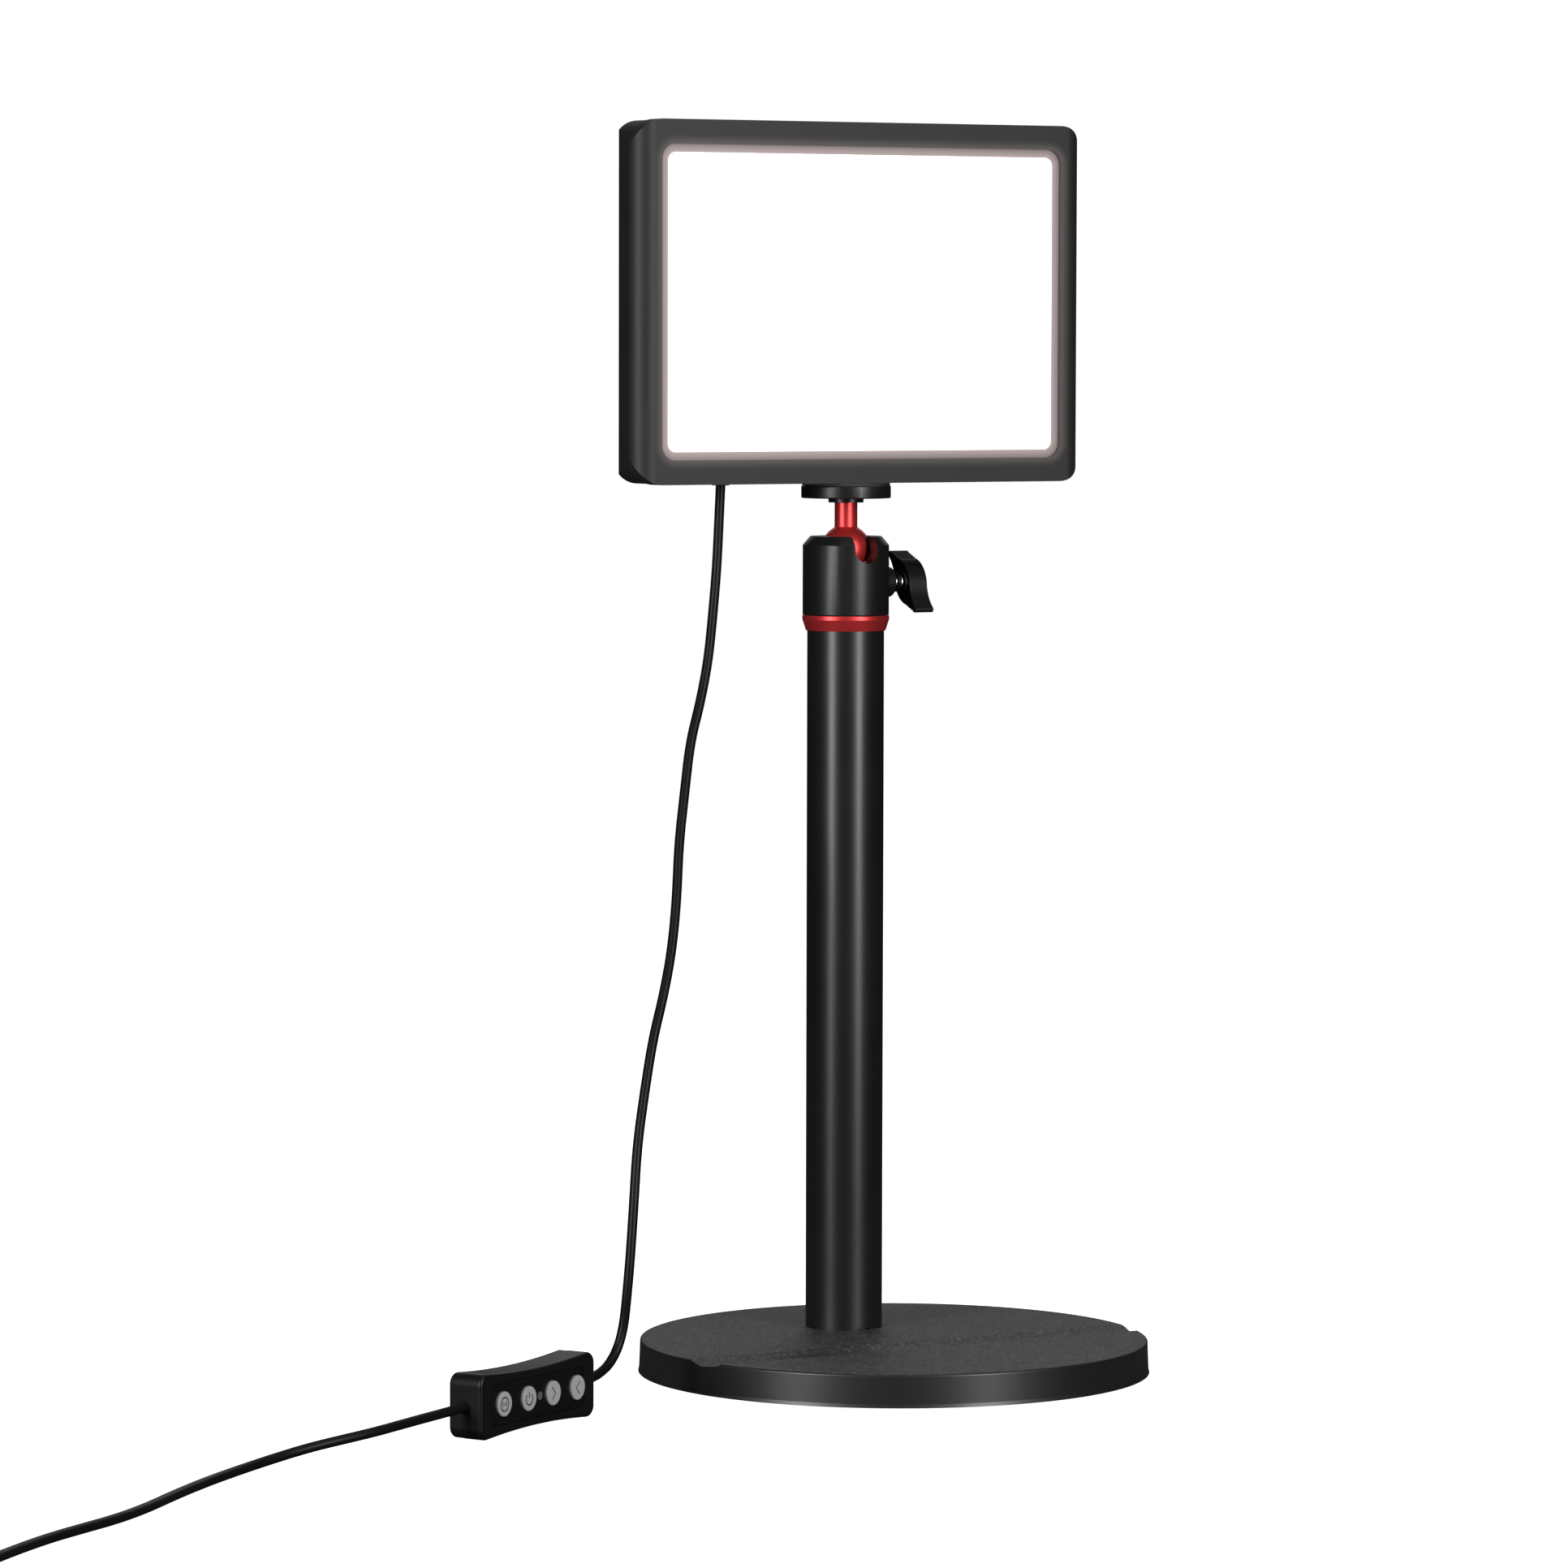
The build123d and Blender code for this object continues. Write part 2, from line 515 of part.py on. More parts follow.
with BuildPart() as rear_cover:
    with BuildSketch(facing(BEZEL_BACK)):
        with Locations(PANEL_SPOT):
            RectangleRounded(PANEL_WIDTH - 0.5, PANEL_HEIGHT - 0.5, PANEL_CORNER)
    extrude(amount=COVER_BACK - BEZEL_BACK)
    with BuildSketch(Plane.XY.offset(PANEL_BOTTOM)):
        with BuildLine():
            front_half = HALF_WIDTH - 0.25
            Polyline(
                (-front_half, BEZEL_BACK), (front_half, BEZEL_BACK), (COVER_BACK_HALF_WIDTH, COVER_BACK),
                (-COVER_BACK_HALF_WIDTH, COVER_BACK), (-front_half, BEZEL_BACK),
            )
        make_face()
    extrude(amount=PANEL_HEIGHT, mode=Mode.INTERSECT)
    fillet(rear_cover.edges().group_by(Axis.Y)[-1], 0.9)
    with BuildSketch(facing(COVER_BACK)):
        with Locations(PANEL_SPOT):
            RectangleRounded(*RIB_FIELD, 4.0)
    extrude(amount=RIB_HEIGHT)
    with BuildSketch(facing(BEZEL_BACK)):
        with Locations(PANEL_SPOT):
            RectangleRounded(SHELL_INSIDE[0] - 2, SHELL_INSIDE[1], PANEL_CORNER - 2)
    extrude(amount=SHELL_INSIDE_BACK - BEZEL_BACK, mode=Mode.SUBTRACT)
    for side in (1, -1):        # ribbed field, with a wider land across the middle
        for row in range(RIB_GROOVES // 2):
            z = PANEL_MIDDLE + side * (RIB_PITCH * (row + 0.5) + 0.8)
            with Locations(Location((0, COVER_BACK + RIB_HEIGHT, z))):
                Box(PANEL_WIDTH, 2 * RIB_HEIGHT, 2.9, mode=Mode.SUBTRACT)
    with BuildSketch(facing(BEZEL_BACK)):
        with Locations(*SCREW_SPOTS):
            Circle(3.0)
        with Locations(panel_spot(0, PANEL_BOTTOM + 4.6)):
            Rectangle(16.0, 7.8)
    extrude(amount=SHELL_INSIDE_BACK - BEZEL_BACK + 0.5)
    with BuildSketch(facing(SHELL_INSIDE_BACK + 0.5)):
        with Locations(DRIVER_SPOT):
            with GridLocations(DRIVER_SIZE[0] - 7, DRIVER_SIZE[1] - 7, 2, 2):
                Circle(2.2)
    extrude(amount=36.8 - SHELL_INSIDE_BACK - 0.5)
    with BuildSketch(facing(SCREW_SEAT)):
        with Locations(*SCREW_SPOTS):
            Circle(1.6)
    extrude(amount=BEZEL_BACK - SCREW_SEAT, mode=Mode.SUBTRACT)
    with BuildSketch(facing(SCREW_SEAT)):
        with Locations(*SCREW_SPOTS):
            Circle(2.9)
    extrude(amount=5.0, mode=Mode.SUBTRACT)
    with BuildSketch(Plane.XY.offset(PANEL_BOTTOM)):
        with Locations((0, POLE_Y)):
            Circle(BUSH_RADIUS)
    extrude(amount=7.6, mode=Mode.SUBTRACT)
    with BuildSketch(Plane.XY.offset(PANEL_BOTTOM)):
        with Locations(CORD_EXIT):
            Circle(2.6)
    extrude(amount=4.0, mode=Mode.SUBTRACT)
save(rear_cover, "rear_cover")

with BuildPart() as panel_screws:
    with BuildSketch(facing(SCREW_SEAT)):
        with Locations(*SCREW_SPOTS):
            Circle(2.6)
    extrude(amount=1.7)
    with BuildSketch(facing(SCREW_SEAT + 1.7)):
        with Locations(*SCREW_SPOTS):
            Rectangle(3.4, 0.7)
            Rectangle(0.7, 3.4)
    extrude(amount=-0.8, mode=Mode.SUBTRACT)
    with BuildSketch(facing(SCREW_SEAT)):
        with Locations(*SCREW_SPOTS):
            Circle(1.3)
    extrude(amount=-16.0)
save(panel_screws, "panel_screws")

with BuildPart() as tripod_bush:
    with BuildSketch(Plane.XY.offset(PANEL_BOTTOM)):
        with Locations((0, POLE_Y)):
            Circle(BUSH_RADIUS)
    extrude(amount=7.6)
    with BuildSketch(Plane.XY.offset(PANEL_BOTTOM)):
        with Locations((0, POLE_Y)):
            Circle(STUD_HOLE)
    extrude(amount=6.6, mode=Mode.SUBTRACT)
save(tripod_bush, "tripod_bush")

with BuildPart() as cord_gland:
    with BuildSketch(Plane.XY.offset(GLAND_BOTTOM)):
        with Locations(CORD_EXIT):
            Circle(3.3)
    extrude(amount=PANEL_BOTTOM - GLAND_BOTTOM + 0.2)
    with BuildSketch(Plane.XY.offset(PANEL_BOTTOM)):
        with Locations(CORD_EXIT):
            Circle(2.6)
    extrude(amount=3.6)
    fillet(cord_gland.edges().group_by(Axis.Z)[0], 0.3)
save(cord_gland, "cord_gland")

# =====================================================================================  controller

CTRL_U = (cos(radians(CTRL_HEADING)), sin(radians(CTRL_HEADING)), 0)
CTRL_FRONT = (sin(radians(CTRL_HEADING)), -cos(radians(CTRL_HEADING)), 0)
CTRL_CENTRE = (*CTRL_MIDDLE, CTRL_HEIGHT / 2)
CTRL_PLANE = Plane(origin=CTRL_CENTRE, x_dir=CTRL_U, z_dir=CTRL_FRONT)    # its local Y is up
CTRL_AXIS = Axis(CTRL_CENTRE, CTRL_FRONT)
CTRL_ENDS = [Plane(origin=CTRL_CENTRE, x_dir=(0, 0, 1), z_dir=tuple(side * c for c in CTRL_U)) for side in (1, -1)]
FACE = CTRL_THICKNESS / 2
FRONT_WALL_INSIDE = 5.0
PLATE_DEPTH = 0.9
BUTTON_SPOTS = [(FIRST_BUTTON + BUTTON_PITCH * i, 0) for i in range(4)]
LENS_SPOT = (FIRST_BUTTON + 1.5 * BUTTON_PITCH, 0)
CTRL_SCREW_SPOTS = [(x, y) for x in (-30.2, 30.2) for y in (-6.3, 6.3)]
GROMMET_RADIUS = 2.6


def controller_outline(margin, corner):
    """Waisted outline of the controller in its face plane, drawn in by a margin."""
    half_length = CTRL_LENGTH / 2 - margin
    half_height = CTRL_HEIGHT / 2 + CTRL_TIP - margin
    with BuildSketch() as outline:
        with BuildLine():
            for side in (1, -1):
                ThreePointArc(
                    (-half_length, side * half_height), (0, side * (half_height - CTRL_WAIST)),
                    (half_length, side * half_height),
                )
                Line((side * half_length, -half_height), (side * half_length, half_height))
        make_face()
        fillet(outline.vertices(), corner)
    return outline.sketch


FRONT_OUTLINE = controller_outline(0, 4.0)
BACK_OUTLINE = controller_outline(0.12, 3.9)
INNER_OUTLINE = controller_outline(1.7, 2.4)

with BuildPart() as controller_front_shell:
    with BuildSketch(CTRL_PLANE.offset(CTRL_PARTING)):
        add(FRONT_OUTLINE)
    extrude(amount=FACE - CTRL_PARTING)
    fillet(controller_front_shell.faces().sort_by(CTRL_AXIS)[-1].edges(), 1.2)
    with BuildSketch(CTRL_PLANE.offset(CTRL_PARTING)):
        add(INNER_OUTLINE)
    extrude(amount=FRONT_WALL_INSIDE - CTRL_PARTING, mode=Mode.SUBTRACT)
    with BuildSketch(CTRL_PLANE.offset(CTRL_PARTING)):
        with Locations(*CTRL_SCREW_SPOTS):
            Circle(2.1)
    extrude(amount=FRONT_WALL_INSIDE - CTRL_PARTING + 0.3)
    with BuildSketch(CTRL_PLANE.offset(CTRL_PARTING)):
        with Locations(*CTRL_SCREW_SPOTS):
            Circle(0.8)
    extrude(amount=5.0, mode=Mode.SUBTRACT)
    with BuildSketch(CTRL_PLANE.offset(FACE)):
        with Locations((-0.5, 0)):
            RectangleRounded(57.0, 14.4, 2.5)
    extrude(amount=-PLATE_DEPTH, mode=Mode.SUBTRACT)
    with BuildSketch(CTRL_PLANE.offset(FACE)):
        with Locations(*BUTTON_SPOTS):
            Circle(BUTTON_RADIUS + 0.35)
        with Locations(LENS_SPOT):
            Circle(1.55)
    extrude(amount=-4.0, mode=Mode.SUBTRACT)
    for end in CTRL_ENDS:
        with BuildSketch(end.offset(CTRL_LENGTH / 2 - 5)):
            Circle(GROMMET_RADIUS + 0.05)
        extrude(amount=6, mode=Mode.SUBTRACT)
save(controller_front_shell, "controller_front_shell")

with BuildPart() as controller_back_shell:
    with BuildSketch(CTRL_PLANE.offset(CTRL_PARTING)):
        add(BACK_OUTLINE)
    extrude(amount=-FACE - CTRL_PARTING)
    fillet(controller_back_shell.faces().sort_by(CTRL_AXIS)[0].edges(), 1.4)
    with BuildSketch(CTRL_PLANE.offset(CTRL_PARTING)):
        add(INNER_OUTLINE)
    extrude(amount=-FACE - CTRL_PARTING + 1.7, mode=Mode.SUBTRACT)
    with BuildSketch(CTRL_PLANE.offset(CTRL_PARTING)):
        with Locations(*CTRL_SCREW_SPOTS):
            Circle(2.1)
    extrude(amount=-FACE - CTRL_PARTING + 1.4)
    with BuildSketch(CTRL_PLANE.offset(-FACE)):
        with Locations(*CTRL_SCREW_SPOTS):
            Circle(0.9)
    extrude(amount=6.0, mode=Mode.SUBTRACT)
    with BuildSketch(CTRL_PLANE.offset(-FACE)):
        with Locations(*CTRL_SCREW_SPOTS):
            Circle(1.7)
    extrude(amount=1.3, mode=Mode.SUBTRACT)
    for end in CTRL_ENDS:
        with BuildSketch(end.offset(CTRL_LENGTH / 2 - 5)):
            Circle(GROMMET_RADIUS + 0.05)
        extrude(amount=6, mode=Mode.SUBTRACT)
save(controller_back_shell, "controller_back_shell")

with BuildPart() as controller_face_plate:
    with BuildSketch(CTRL_PLANE.offset(FACE - PLATE_DEPTH)):
        with Locations((-0.5, 0)):
            RectangleRounded(56.6, 14.0, 2.3)
        with Locations(*BUTTON_SPOTS):
            Circle(BUTTON_RADIUS + 0.3, mode=Mode.SUBTRACT)
        with Locations(LENS_SPOT):
            Circle(1.5, mode=Mode.SUBTRACT)
    extrude(amount=PLATE_DEPTH - 0.1)
save(controller_face_plate, "controller_face_plate")

for name, spot in zip(BUTTON_NAMES, BUTTON_SPOTS):
    with BuildPart() as button:
        with BuildSketch(CTRL_PLANE.offset(3.5)):
            with Locations(spot):
                Circle(BUTTON_RADIUS)
        extrude(amount=FACE + 0.8 - 3.5)
        fillet(button.edges().group_by(CTRL_AXIS)[-1], 0.5)
        with BuildSketch(CTRL_PLANE.offset(3.5)):
            with Locations(spot):
                Circle(BUTTON_RADIUS + 0.9)
        extrude(amount=1.1)
        with BuildSketch(CTRL_PLANE.offset(2.9)):
            with Locations(spot):
                Circle(1.5)
        extrude(amount=1.0)
    save(button, name)

with BuildPart() as indicator_lens:
    with BuildSketch(CTRL_PLANE.offset(3.6)):
        with Locations(LENS_SPOT):
            Circle(1.45)
    extrude(amount=FACE - 3.6 - 0.05)
save(indicator_lens, "indicator_lens")

with BuildPart() as controller_board:
    with BuildSketch(CTRL_PLANE.offset(-1.0)):
        Rectangle(55.0, 14.0)
    extrude(amount=1.6)
save(controller_board, "controller_board")

with BuildPart() as tact_switches:
    with BuildSketch(CTRL_PLANE.offset(0.6)):
        with Locations(*BUTTON_SPOTS):
            Rectangle(6.0, 6.0)
    extrude(amount=1.4)
save(tact_switches, "tact_switches")

with BuildPart() as controller_screws:
    with BuildSketch(CTRL_PLANE.offset(-FACE + 0.1)):
        with Locations(*CTRL_SCREW_SPOTS):
            Circle(1.6)
    extrude(amount=1.1)
    with BuildSketch(CTRL_PLANE.offset(-FACE + 1.2)):
        with Locations(*CTRL_SCREW_SPOTS):
            Circle(0.8)
    extrude(amount=7.0)
save(controller_screws, "controller_screws")

with BuildPart() as controller_grommets:
    for end in CTRL_ENDS:
        with BuildSketch(end.offset(CTRL_LENGTH / 2 - 4.0)):
            Circle(GROMMET_RADIUS)
        extrude(amount=4.0)
        with BuildSketch(end.offset(CTRL_LENGTH / 2 - 4.0)):
            Circle(3.7)
        extrude(amount=2.0)
save(controller_grommets, "controller_grommets")

# =====================================================================================  cord


def corner_radii(route):
    """The largest arc that the two runs at each corner of a route leave room for."""
    points = [Vector(*point) for point in route]
    radii = []
    for before, corner, after in zip(points, points[1:], points[2:]):
        turn = radians((corner - before).get_angle(after - corner))
        shorter = min((corner - before).length, (after - corner).length)
        radii.append(0.45 * shorter / tan(turn / 2))
    return radii


def cord_tube(route, name):
    """A round tube along a route of straight runs joined by tangent arcs."""
    radii = corner_radii(route)
    with BuildPart() as tube:
        with BuildLine() as path:
            FilletPolyline(*route, radius=radii)
        centreline = path.wires()[0]
        with BuildSketch(Plane(origin=centreline @ 0, z_dir=centreline % 0)):
            Circle(CORD_RADIUS)
        sweep(path=centreline)
    share = tube.part.volume / (pi * CORD_RADIUS ** 2 * centreline.length)
    print(f"{name}: length {centreline.length:.1f}, volume share {share:.4f}, radii",
          " ".join(f"{radius:.0f}" for radius in radii))
    save(tube, name)


# From the panel's gland down the left of the pole to the controller's right end.
UPPER_TOP_ROUTE = [
    (*CORD_EXIT, GLAND_BOTTOM), (-52.0, 37.4, 306.5), (-53.5, 36.3, 290.0), (-56.5, 34.0, 272.5),
    (-60.0, 31.0, 257.0), (-62.5, 29.5, CORD_SPLIT),
]
UPPER_ROUTE = [
    (-62.5, 29.5, CORD_SPLIT), (-65.0, 28.0, 242.0), (-71.0, 24.5, 228.5), (-76.0, 19.5, 211.5),
    (-81.5, 14.0, 193.0), (-86.0, 7.5, 173.5), (-91.0, 2.0, 156.5), (-97.0, -3.0, 141.5),
    (-104.0, -7.5, 126.0), (-110.0, -12.5, 108.5), (-115.5, -17.0, 90.0), (-119.0, -21.0, 70.5),
    (-121.5, -23.0, 52.0), (-122.9, -23.1, 38.5), (-123.3, -21.6, 27.8), (-125.7, -21.9, 20.2),
    (-130.6, -24.4, 14.9), (-136.6, -27.6, 12.3), (-142.1, -30.5, 11.5), (-147.7, -33.5, 11.3),
]
# From the controller's left end over the floor into the coil.
LOWER_ROUTE = [
    (-209.5, -66.3, 11.3), (-219.5, -71.0, 10.9), (-235.0, -77.5, 10.0), (-251.5, -84.0, 8.8),
    (-264.5, -86.0, 7.5), (-277.0, -86.5, 5.9), (-289.5, -88.0, 3.9), (-305.0, -94.0, 2.2),
    (-324.5, -108.5, 1.8), (-346.5, -128.5, 1.8), (-366.0, -148.0, 1.8), (-383.5, -162.5, 1.8),
    (-400.5, -173.5, 1.8), (-416.0, -184.0, 1.8), (-432.5, -197.5, 1.8), (-447.0, -210.4, 1.8),
    (-459.3, -222.4, 1.9),
]
# Out of the coil to the plug.
TAIL_ROUTE = [
    (-508.9, -211.0, 12.2), (-514.6, -201.0, 10.6), (-520.7, -190.8, 7.6), (-526.5, -180.6, 5.0),
    (-531.6, -171.8, 4.2),
]

cord_tube(UPPER_TOP_ROUTE, "upper_cord_top")
cord_tube(UPPER_ROUTE, "upper_cord")
cord_tube(LOWER_ROUTE, "lower_cord")
cord_tube(TAIL_ROUTE, "cord_tail")

with BuildPart() as cord_coil:
    with BuildSketch(Plane.XY.offset(COIL_BOTTOM)):
        with Locations(COIL_CENTRE):
            Circle(COIL_RADIUS + COIL_HALF_WIDTH)
            Circle(COIL_RADIUS - COIL_HALF_WIDTH, mode=Mode.SUBTRACT)
    extrude(amount=COIL_TOP - COIL_BOTTOM)
    fillet(cord_coil.edges(), 3.0)
save(cord_coil, "cord_coil")

TIE_ANGLE = 60.0
TIE_PLANE = Plane(
    origin=(
        COIL_CENTRE[0] + COIL_RADIUS * cos(radians(TIE_ANGLE)),
        COIL_CENTRE[1] + COIL_RADIUS * sin(radians(TIE_ANGLE)), (COIL_BOTTOM + COIL_TOP) / 2,
    ),
    x_dir=(cos(radians(TIE_ANGLE)), sin(radians(TIE_ANGLE)), 0),
    z_dir=(sin(radians(TIE_ANGLE)), -cos(radians(TIE_ANGLE)), 0),
)
TIE_INSIDE = (2 * COIL_HALF_WIDTH + 0.8, COIL_TOP - COIL_BOTTOM + 0.4)

with BuildPart() as coil_tie:
    with BuildSketch(TIE_PLANE):
        RectangleRounded(TIE_INSIDE[0] + 1.6, TIE_INSIDE[1] + 1.6, 3.4)
        RectangleRounded(*TIE_INSIDE, 2.6, mode=Mode.SUBTRACT)
    extrude(amount=3.0, both=True)
save(coil_tie, "coil_tie")

PLUG_START = Vector(*TAIL_ROUTE[-1])
PLUG_WAY = Vector(-0.5, 0.866, 0)
PLUG_PLANE = Plane(origin=PLUG_START, x_dir=(0.866, 0.5, 0), z_dir=PLUG_WAY)      # its local Y is up or down
PLUG_HALF = PLUG_START.Z - 0.1
PLUG_BODY_LENGTH = 24.0
BOOT_LENGTH = 9.0

with BuildPart() as usb_plug_body:
    with BuildSketch(PLUG_PLANE.offset(BOOT_LENGTH)):
        RectangleRounded(15.6, 2 * PLUG_HALF, 2.0)
    extrude(amount=PLUG_BODY_LENGTH)
    fillet(usb_plug_body.edges().filter_by(GeomType.LINE, reverse=True), 0.8)
    with BuildSketch(PLUG_PLANE):
        Circle(2.6)
    with BuildSketch(PLUG_PLANE.offset(BOOT_LENGTH + 0.5)):
        Circle(3.4)
    loft()
save(usb_plug_body, "usb_plug_body")

SHELL_PLANE = PLUG_PLANE.offset(BOOT_LENGTH + PLUG_BODY_LENGTH)

with BuildPart() as usb_plug_shell:
    with BuildSketch(SHELL_PLANE):
        RectangleRounded(12.0, 4.5, 0.5)
        Rectangle(11.4, 3.9, mode=Mode.SUBTRACT)
    extrude(amount=12.0)
    with BuildSketch(Plane(origin=SHELL_PLANE.origin, x_dir=SHELL_PLANE.x_dir, z_dir=(0, 0, 1))):
        for across_plug in (-2.9, 2.9):
            with Locations((across_plug, 7.5)):
                Rectangle(2.4, 2.2)
    extrude(amount=4.0, both=True, mode=Mode.SUBTRACT)
save(usb_plug_shell, "usb_plug_shell")

with BuildPart() as usb_plug_tongue:
    with BuildSketch(SHELL_PLANE):
        with Locations((0, -0.9)):
            Rectangle(11.2, 1.9)
    extrude(amount=11.0)
save(usb_plug_tongue, "usb_plug_tongue")
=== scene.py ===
"""A tabletop LED panel light: the finishes, the cord, the button signs, the softened edges and the stage."""
import json
import math

import bmesh
import bpy
from bpy.props import FloatProperty, FloatVectorProperty, IntProperty, PointerProperty
from bpy.types import Operator, Panel, PropertyGroup
from mathutils import Matrix, Vector
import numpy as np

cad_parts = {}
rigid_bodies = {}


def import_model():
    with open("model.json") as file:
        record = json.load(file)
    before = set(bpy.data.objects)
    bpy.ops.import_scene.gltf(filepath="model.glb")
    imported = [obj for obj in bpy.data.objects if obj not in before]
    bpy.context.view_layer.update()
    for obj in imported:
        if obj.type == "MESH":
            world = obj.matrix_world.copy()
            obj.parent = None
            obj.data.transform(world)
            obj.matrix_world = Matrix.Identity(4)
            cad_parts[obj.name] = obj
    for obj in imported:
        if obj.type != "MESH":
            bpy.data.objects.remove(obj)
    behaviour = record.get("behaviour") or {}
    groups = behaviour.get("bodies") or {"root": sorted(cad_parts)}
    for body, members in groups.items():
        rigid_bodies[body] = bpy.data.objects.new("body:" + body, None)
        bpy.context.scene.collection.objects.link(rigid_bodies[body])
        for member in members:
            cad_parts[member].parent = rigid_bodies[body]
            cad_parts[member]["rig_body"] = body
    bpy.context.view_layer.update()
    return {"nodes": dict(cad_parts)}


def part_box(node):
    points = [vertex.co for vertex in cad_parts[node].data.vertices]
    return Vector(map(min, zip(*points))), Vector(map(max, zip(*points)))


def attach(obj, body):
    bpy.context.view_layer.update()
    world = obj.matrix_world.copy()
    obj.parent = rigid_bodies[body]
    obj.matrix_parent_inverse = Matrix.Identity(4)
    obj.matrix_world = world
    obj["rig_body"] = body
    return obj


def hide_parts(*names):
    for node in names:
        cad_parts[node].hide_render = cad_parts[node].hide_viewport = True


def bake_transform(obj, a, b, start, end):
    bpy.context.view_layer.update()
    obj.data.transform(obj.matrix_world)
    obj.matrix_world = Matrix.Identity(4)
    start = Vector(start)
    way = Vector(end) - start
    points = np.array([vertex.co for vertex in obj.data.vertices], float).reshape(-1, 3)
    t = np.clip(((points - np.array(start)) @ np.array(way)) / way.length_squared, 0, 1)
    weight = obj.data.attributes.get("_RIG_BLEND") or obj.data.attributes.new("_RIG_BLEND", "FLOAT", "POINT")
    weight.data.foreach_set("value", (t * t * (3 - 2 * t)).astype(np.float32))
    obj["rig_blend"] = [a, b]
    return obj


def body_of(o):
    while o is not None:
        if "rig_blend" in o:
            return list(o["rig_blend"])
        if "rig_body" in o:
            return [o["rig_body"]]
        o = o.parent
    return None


bl_info = {
    "name": "Panel Light",
    "version": (1, 0, 0),
    "blender": (4, 5, 0),
    "location": "View3D > Sidebar > Panel Light",
    "description": "Dresses a tabletop LED panel light and sets up its stage",
    "category": "Object",
}

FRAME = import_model()
NODES = FRAME["nodes"]
MM = 0.001

# Where things are, read from the frame or repeated from the part's source, in metres.
POLE = Vector((0, 0.0355, 0))
BASE_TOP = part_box("base_cover")[1][2]
LIT_HALF = (0.0804, 0.05315)          # half the evenly lit part of the window
LIT_CORNER = 0.003
OPENING_HALF = (0.0837, 0.0563)       # half the bezel's opening
OPENING_CORNER = 0.0055
PANEL_MIDDLE = 0.3854
FACE_TURN = math.radians(28)          # the controller's heading
FACE_MIDDLE = Vector((-0.1786, -0.0499, 0.0113))
BUTTON_TOP = 0.0076                   # from the controller's middle to the caps


# ------------------------------------------------------------------------------------- settings


class FinishSettings(PropertyGroup):
    shell_colour: FloatVectorProperty(
        name="Shell", description="Moulded panel and base", subtype="COLOR", size=3,
        default=(0.0135, 0.0128, 0.0122), min=0, max=1,
    )
    pole_colour: FloatVectorProperty(
        name="Pole", description="Powder coat of the pole", subtype="COLOR", size=3,
        default=(0.007, 0.007, 0.007), min=0, max=1,
    )
    accent_colour: FloatVectorProperty(
        name="Accent", description="Anodised ball, stem and collar", subtype="COLOR", size=3,
        default=(0.62, 0.040, 0.042), min=0, max=1,
    )
    button_colour: FloatVectorProperty(
        name="Buttons", description="Caps of the controller", subtype="COLOR", size=3,
        default=(0.36, 0.36, 0.37), min=0, max=1,
    )
    lamp_colour: FloatVectorProperty(
        name="Lamp", description="Colour of the light", subtype="COLOR", size=3,
        default=(1.0, 0.965, 0.955), min=0, max=1,
    )
    lamp_strength: FloatProperty(
        name="Lamp strength", description="Brightness of the lit window", default=2.2, min=0, max=20,
    )


class CordSettings(PropertyGroup):
    radius: FloatProperty(
        name="Radius", description="Half the cord's thickness", default=0.00175, unit="LENGTH",
        min=0.001, max=0.004,
    )
    turn_points: IntProperty(
        name="Points a turn", description="Control points in one turn of the coil",
        default=18, min=12, max=48,
    )


class StageSettings(PropertyGroup):
    lens: FloatProperty(
        name="Lens", description="Focal length in millimetres on a 36 mm sensor",
        default=162.63, min=20, max=400,
    )
    softbox_strength: FloatProperty(
        name="Softboxes", description="Power of each tall softbox", unit="POWER",
        default=21.0, min=0, max=500,
    )
    fill: FloatProperty(
        name="Fill", description="Brightness of the room round the object", default=0.018, min=0, max=2,
    )


# --------------------------------------------------------------------------------- shader maths


class Number:
    """A shader socket that Python arithmetic turns into Math nodes."""

    def __init__(self, finish, socket):
        self.finish = finish
        self.socket = socket

    def math(self, operation, *others, first=None):
        settings = {"operation": operation}
        values = [self if first is None else first, *others]
        return self.finish.node("Math", settings, dict(enumerate(values)))

    def __add__(self, other):
        return self.math("ADD", other)

    def __radd__(self, other):
        return self.math("ADD", other)

    def __sub__(self, other):
        return self.math("SUBTRACT", other)

    def __rsub__(self, other):
        return self.math("SUBTRACT", self, first=other)

    def __mul__(self, other):
        return self.math("MULTIPLY", other)

    def __rmul__(self, other):
        return self.math("MULTIPLY", other)

    def __truediv__(self, other):
        return self.math("DIVIDE", other)

    def __rtruediv__(self, other):
        return self.math("DIVIDE", self, first=other)

    def __pow__(self, other):
        return self.math("POWER", other)

    def __abs__(self):
        return self.math("ABSOLUTE")

    def above(self, limit):
        return self.math("MAXIMUM", limit)

    def below(self, limit):
        return self.math("MINIMUM", limit)

    def wave(self):
        return self.math("SINE")

    def rise(self, low, high):
        """0 below low and 1 above high, easing in between."""
        return self.finish.node(
            "MapRange", {"interpolation_type": "SMOOTHSTEP"},
            {"Value": self, "From Min": low, "From Max": high, "To Min": 0.0, "To Max": 1.0},
        )


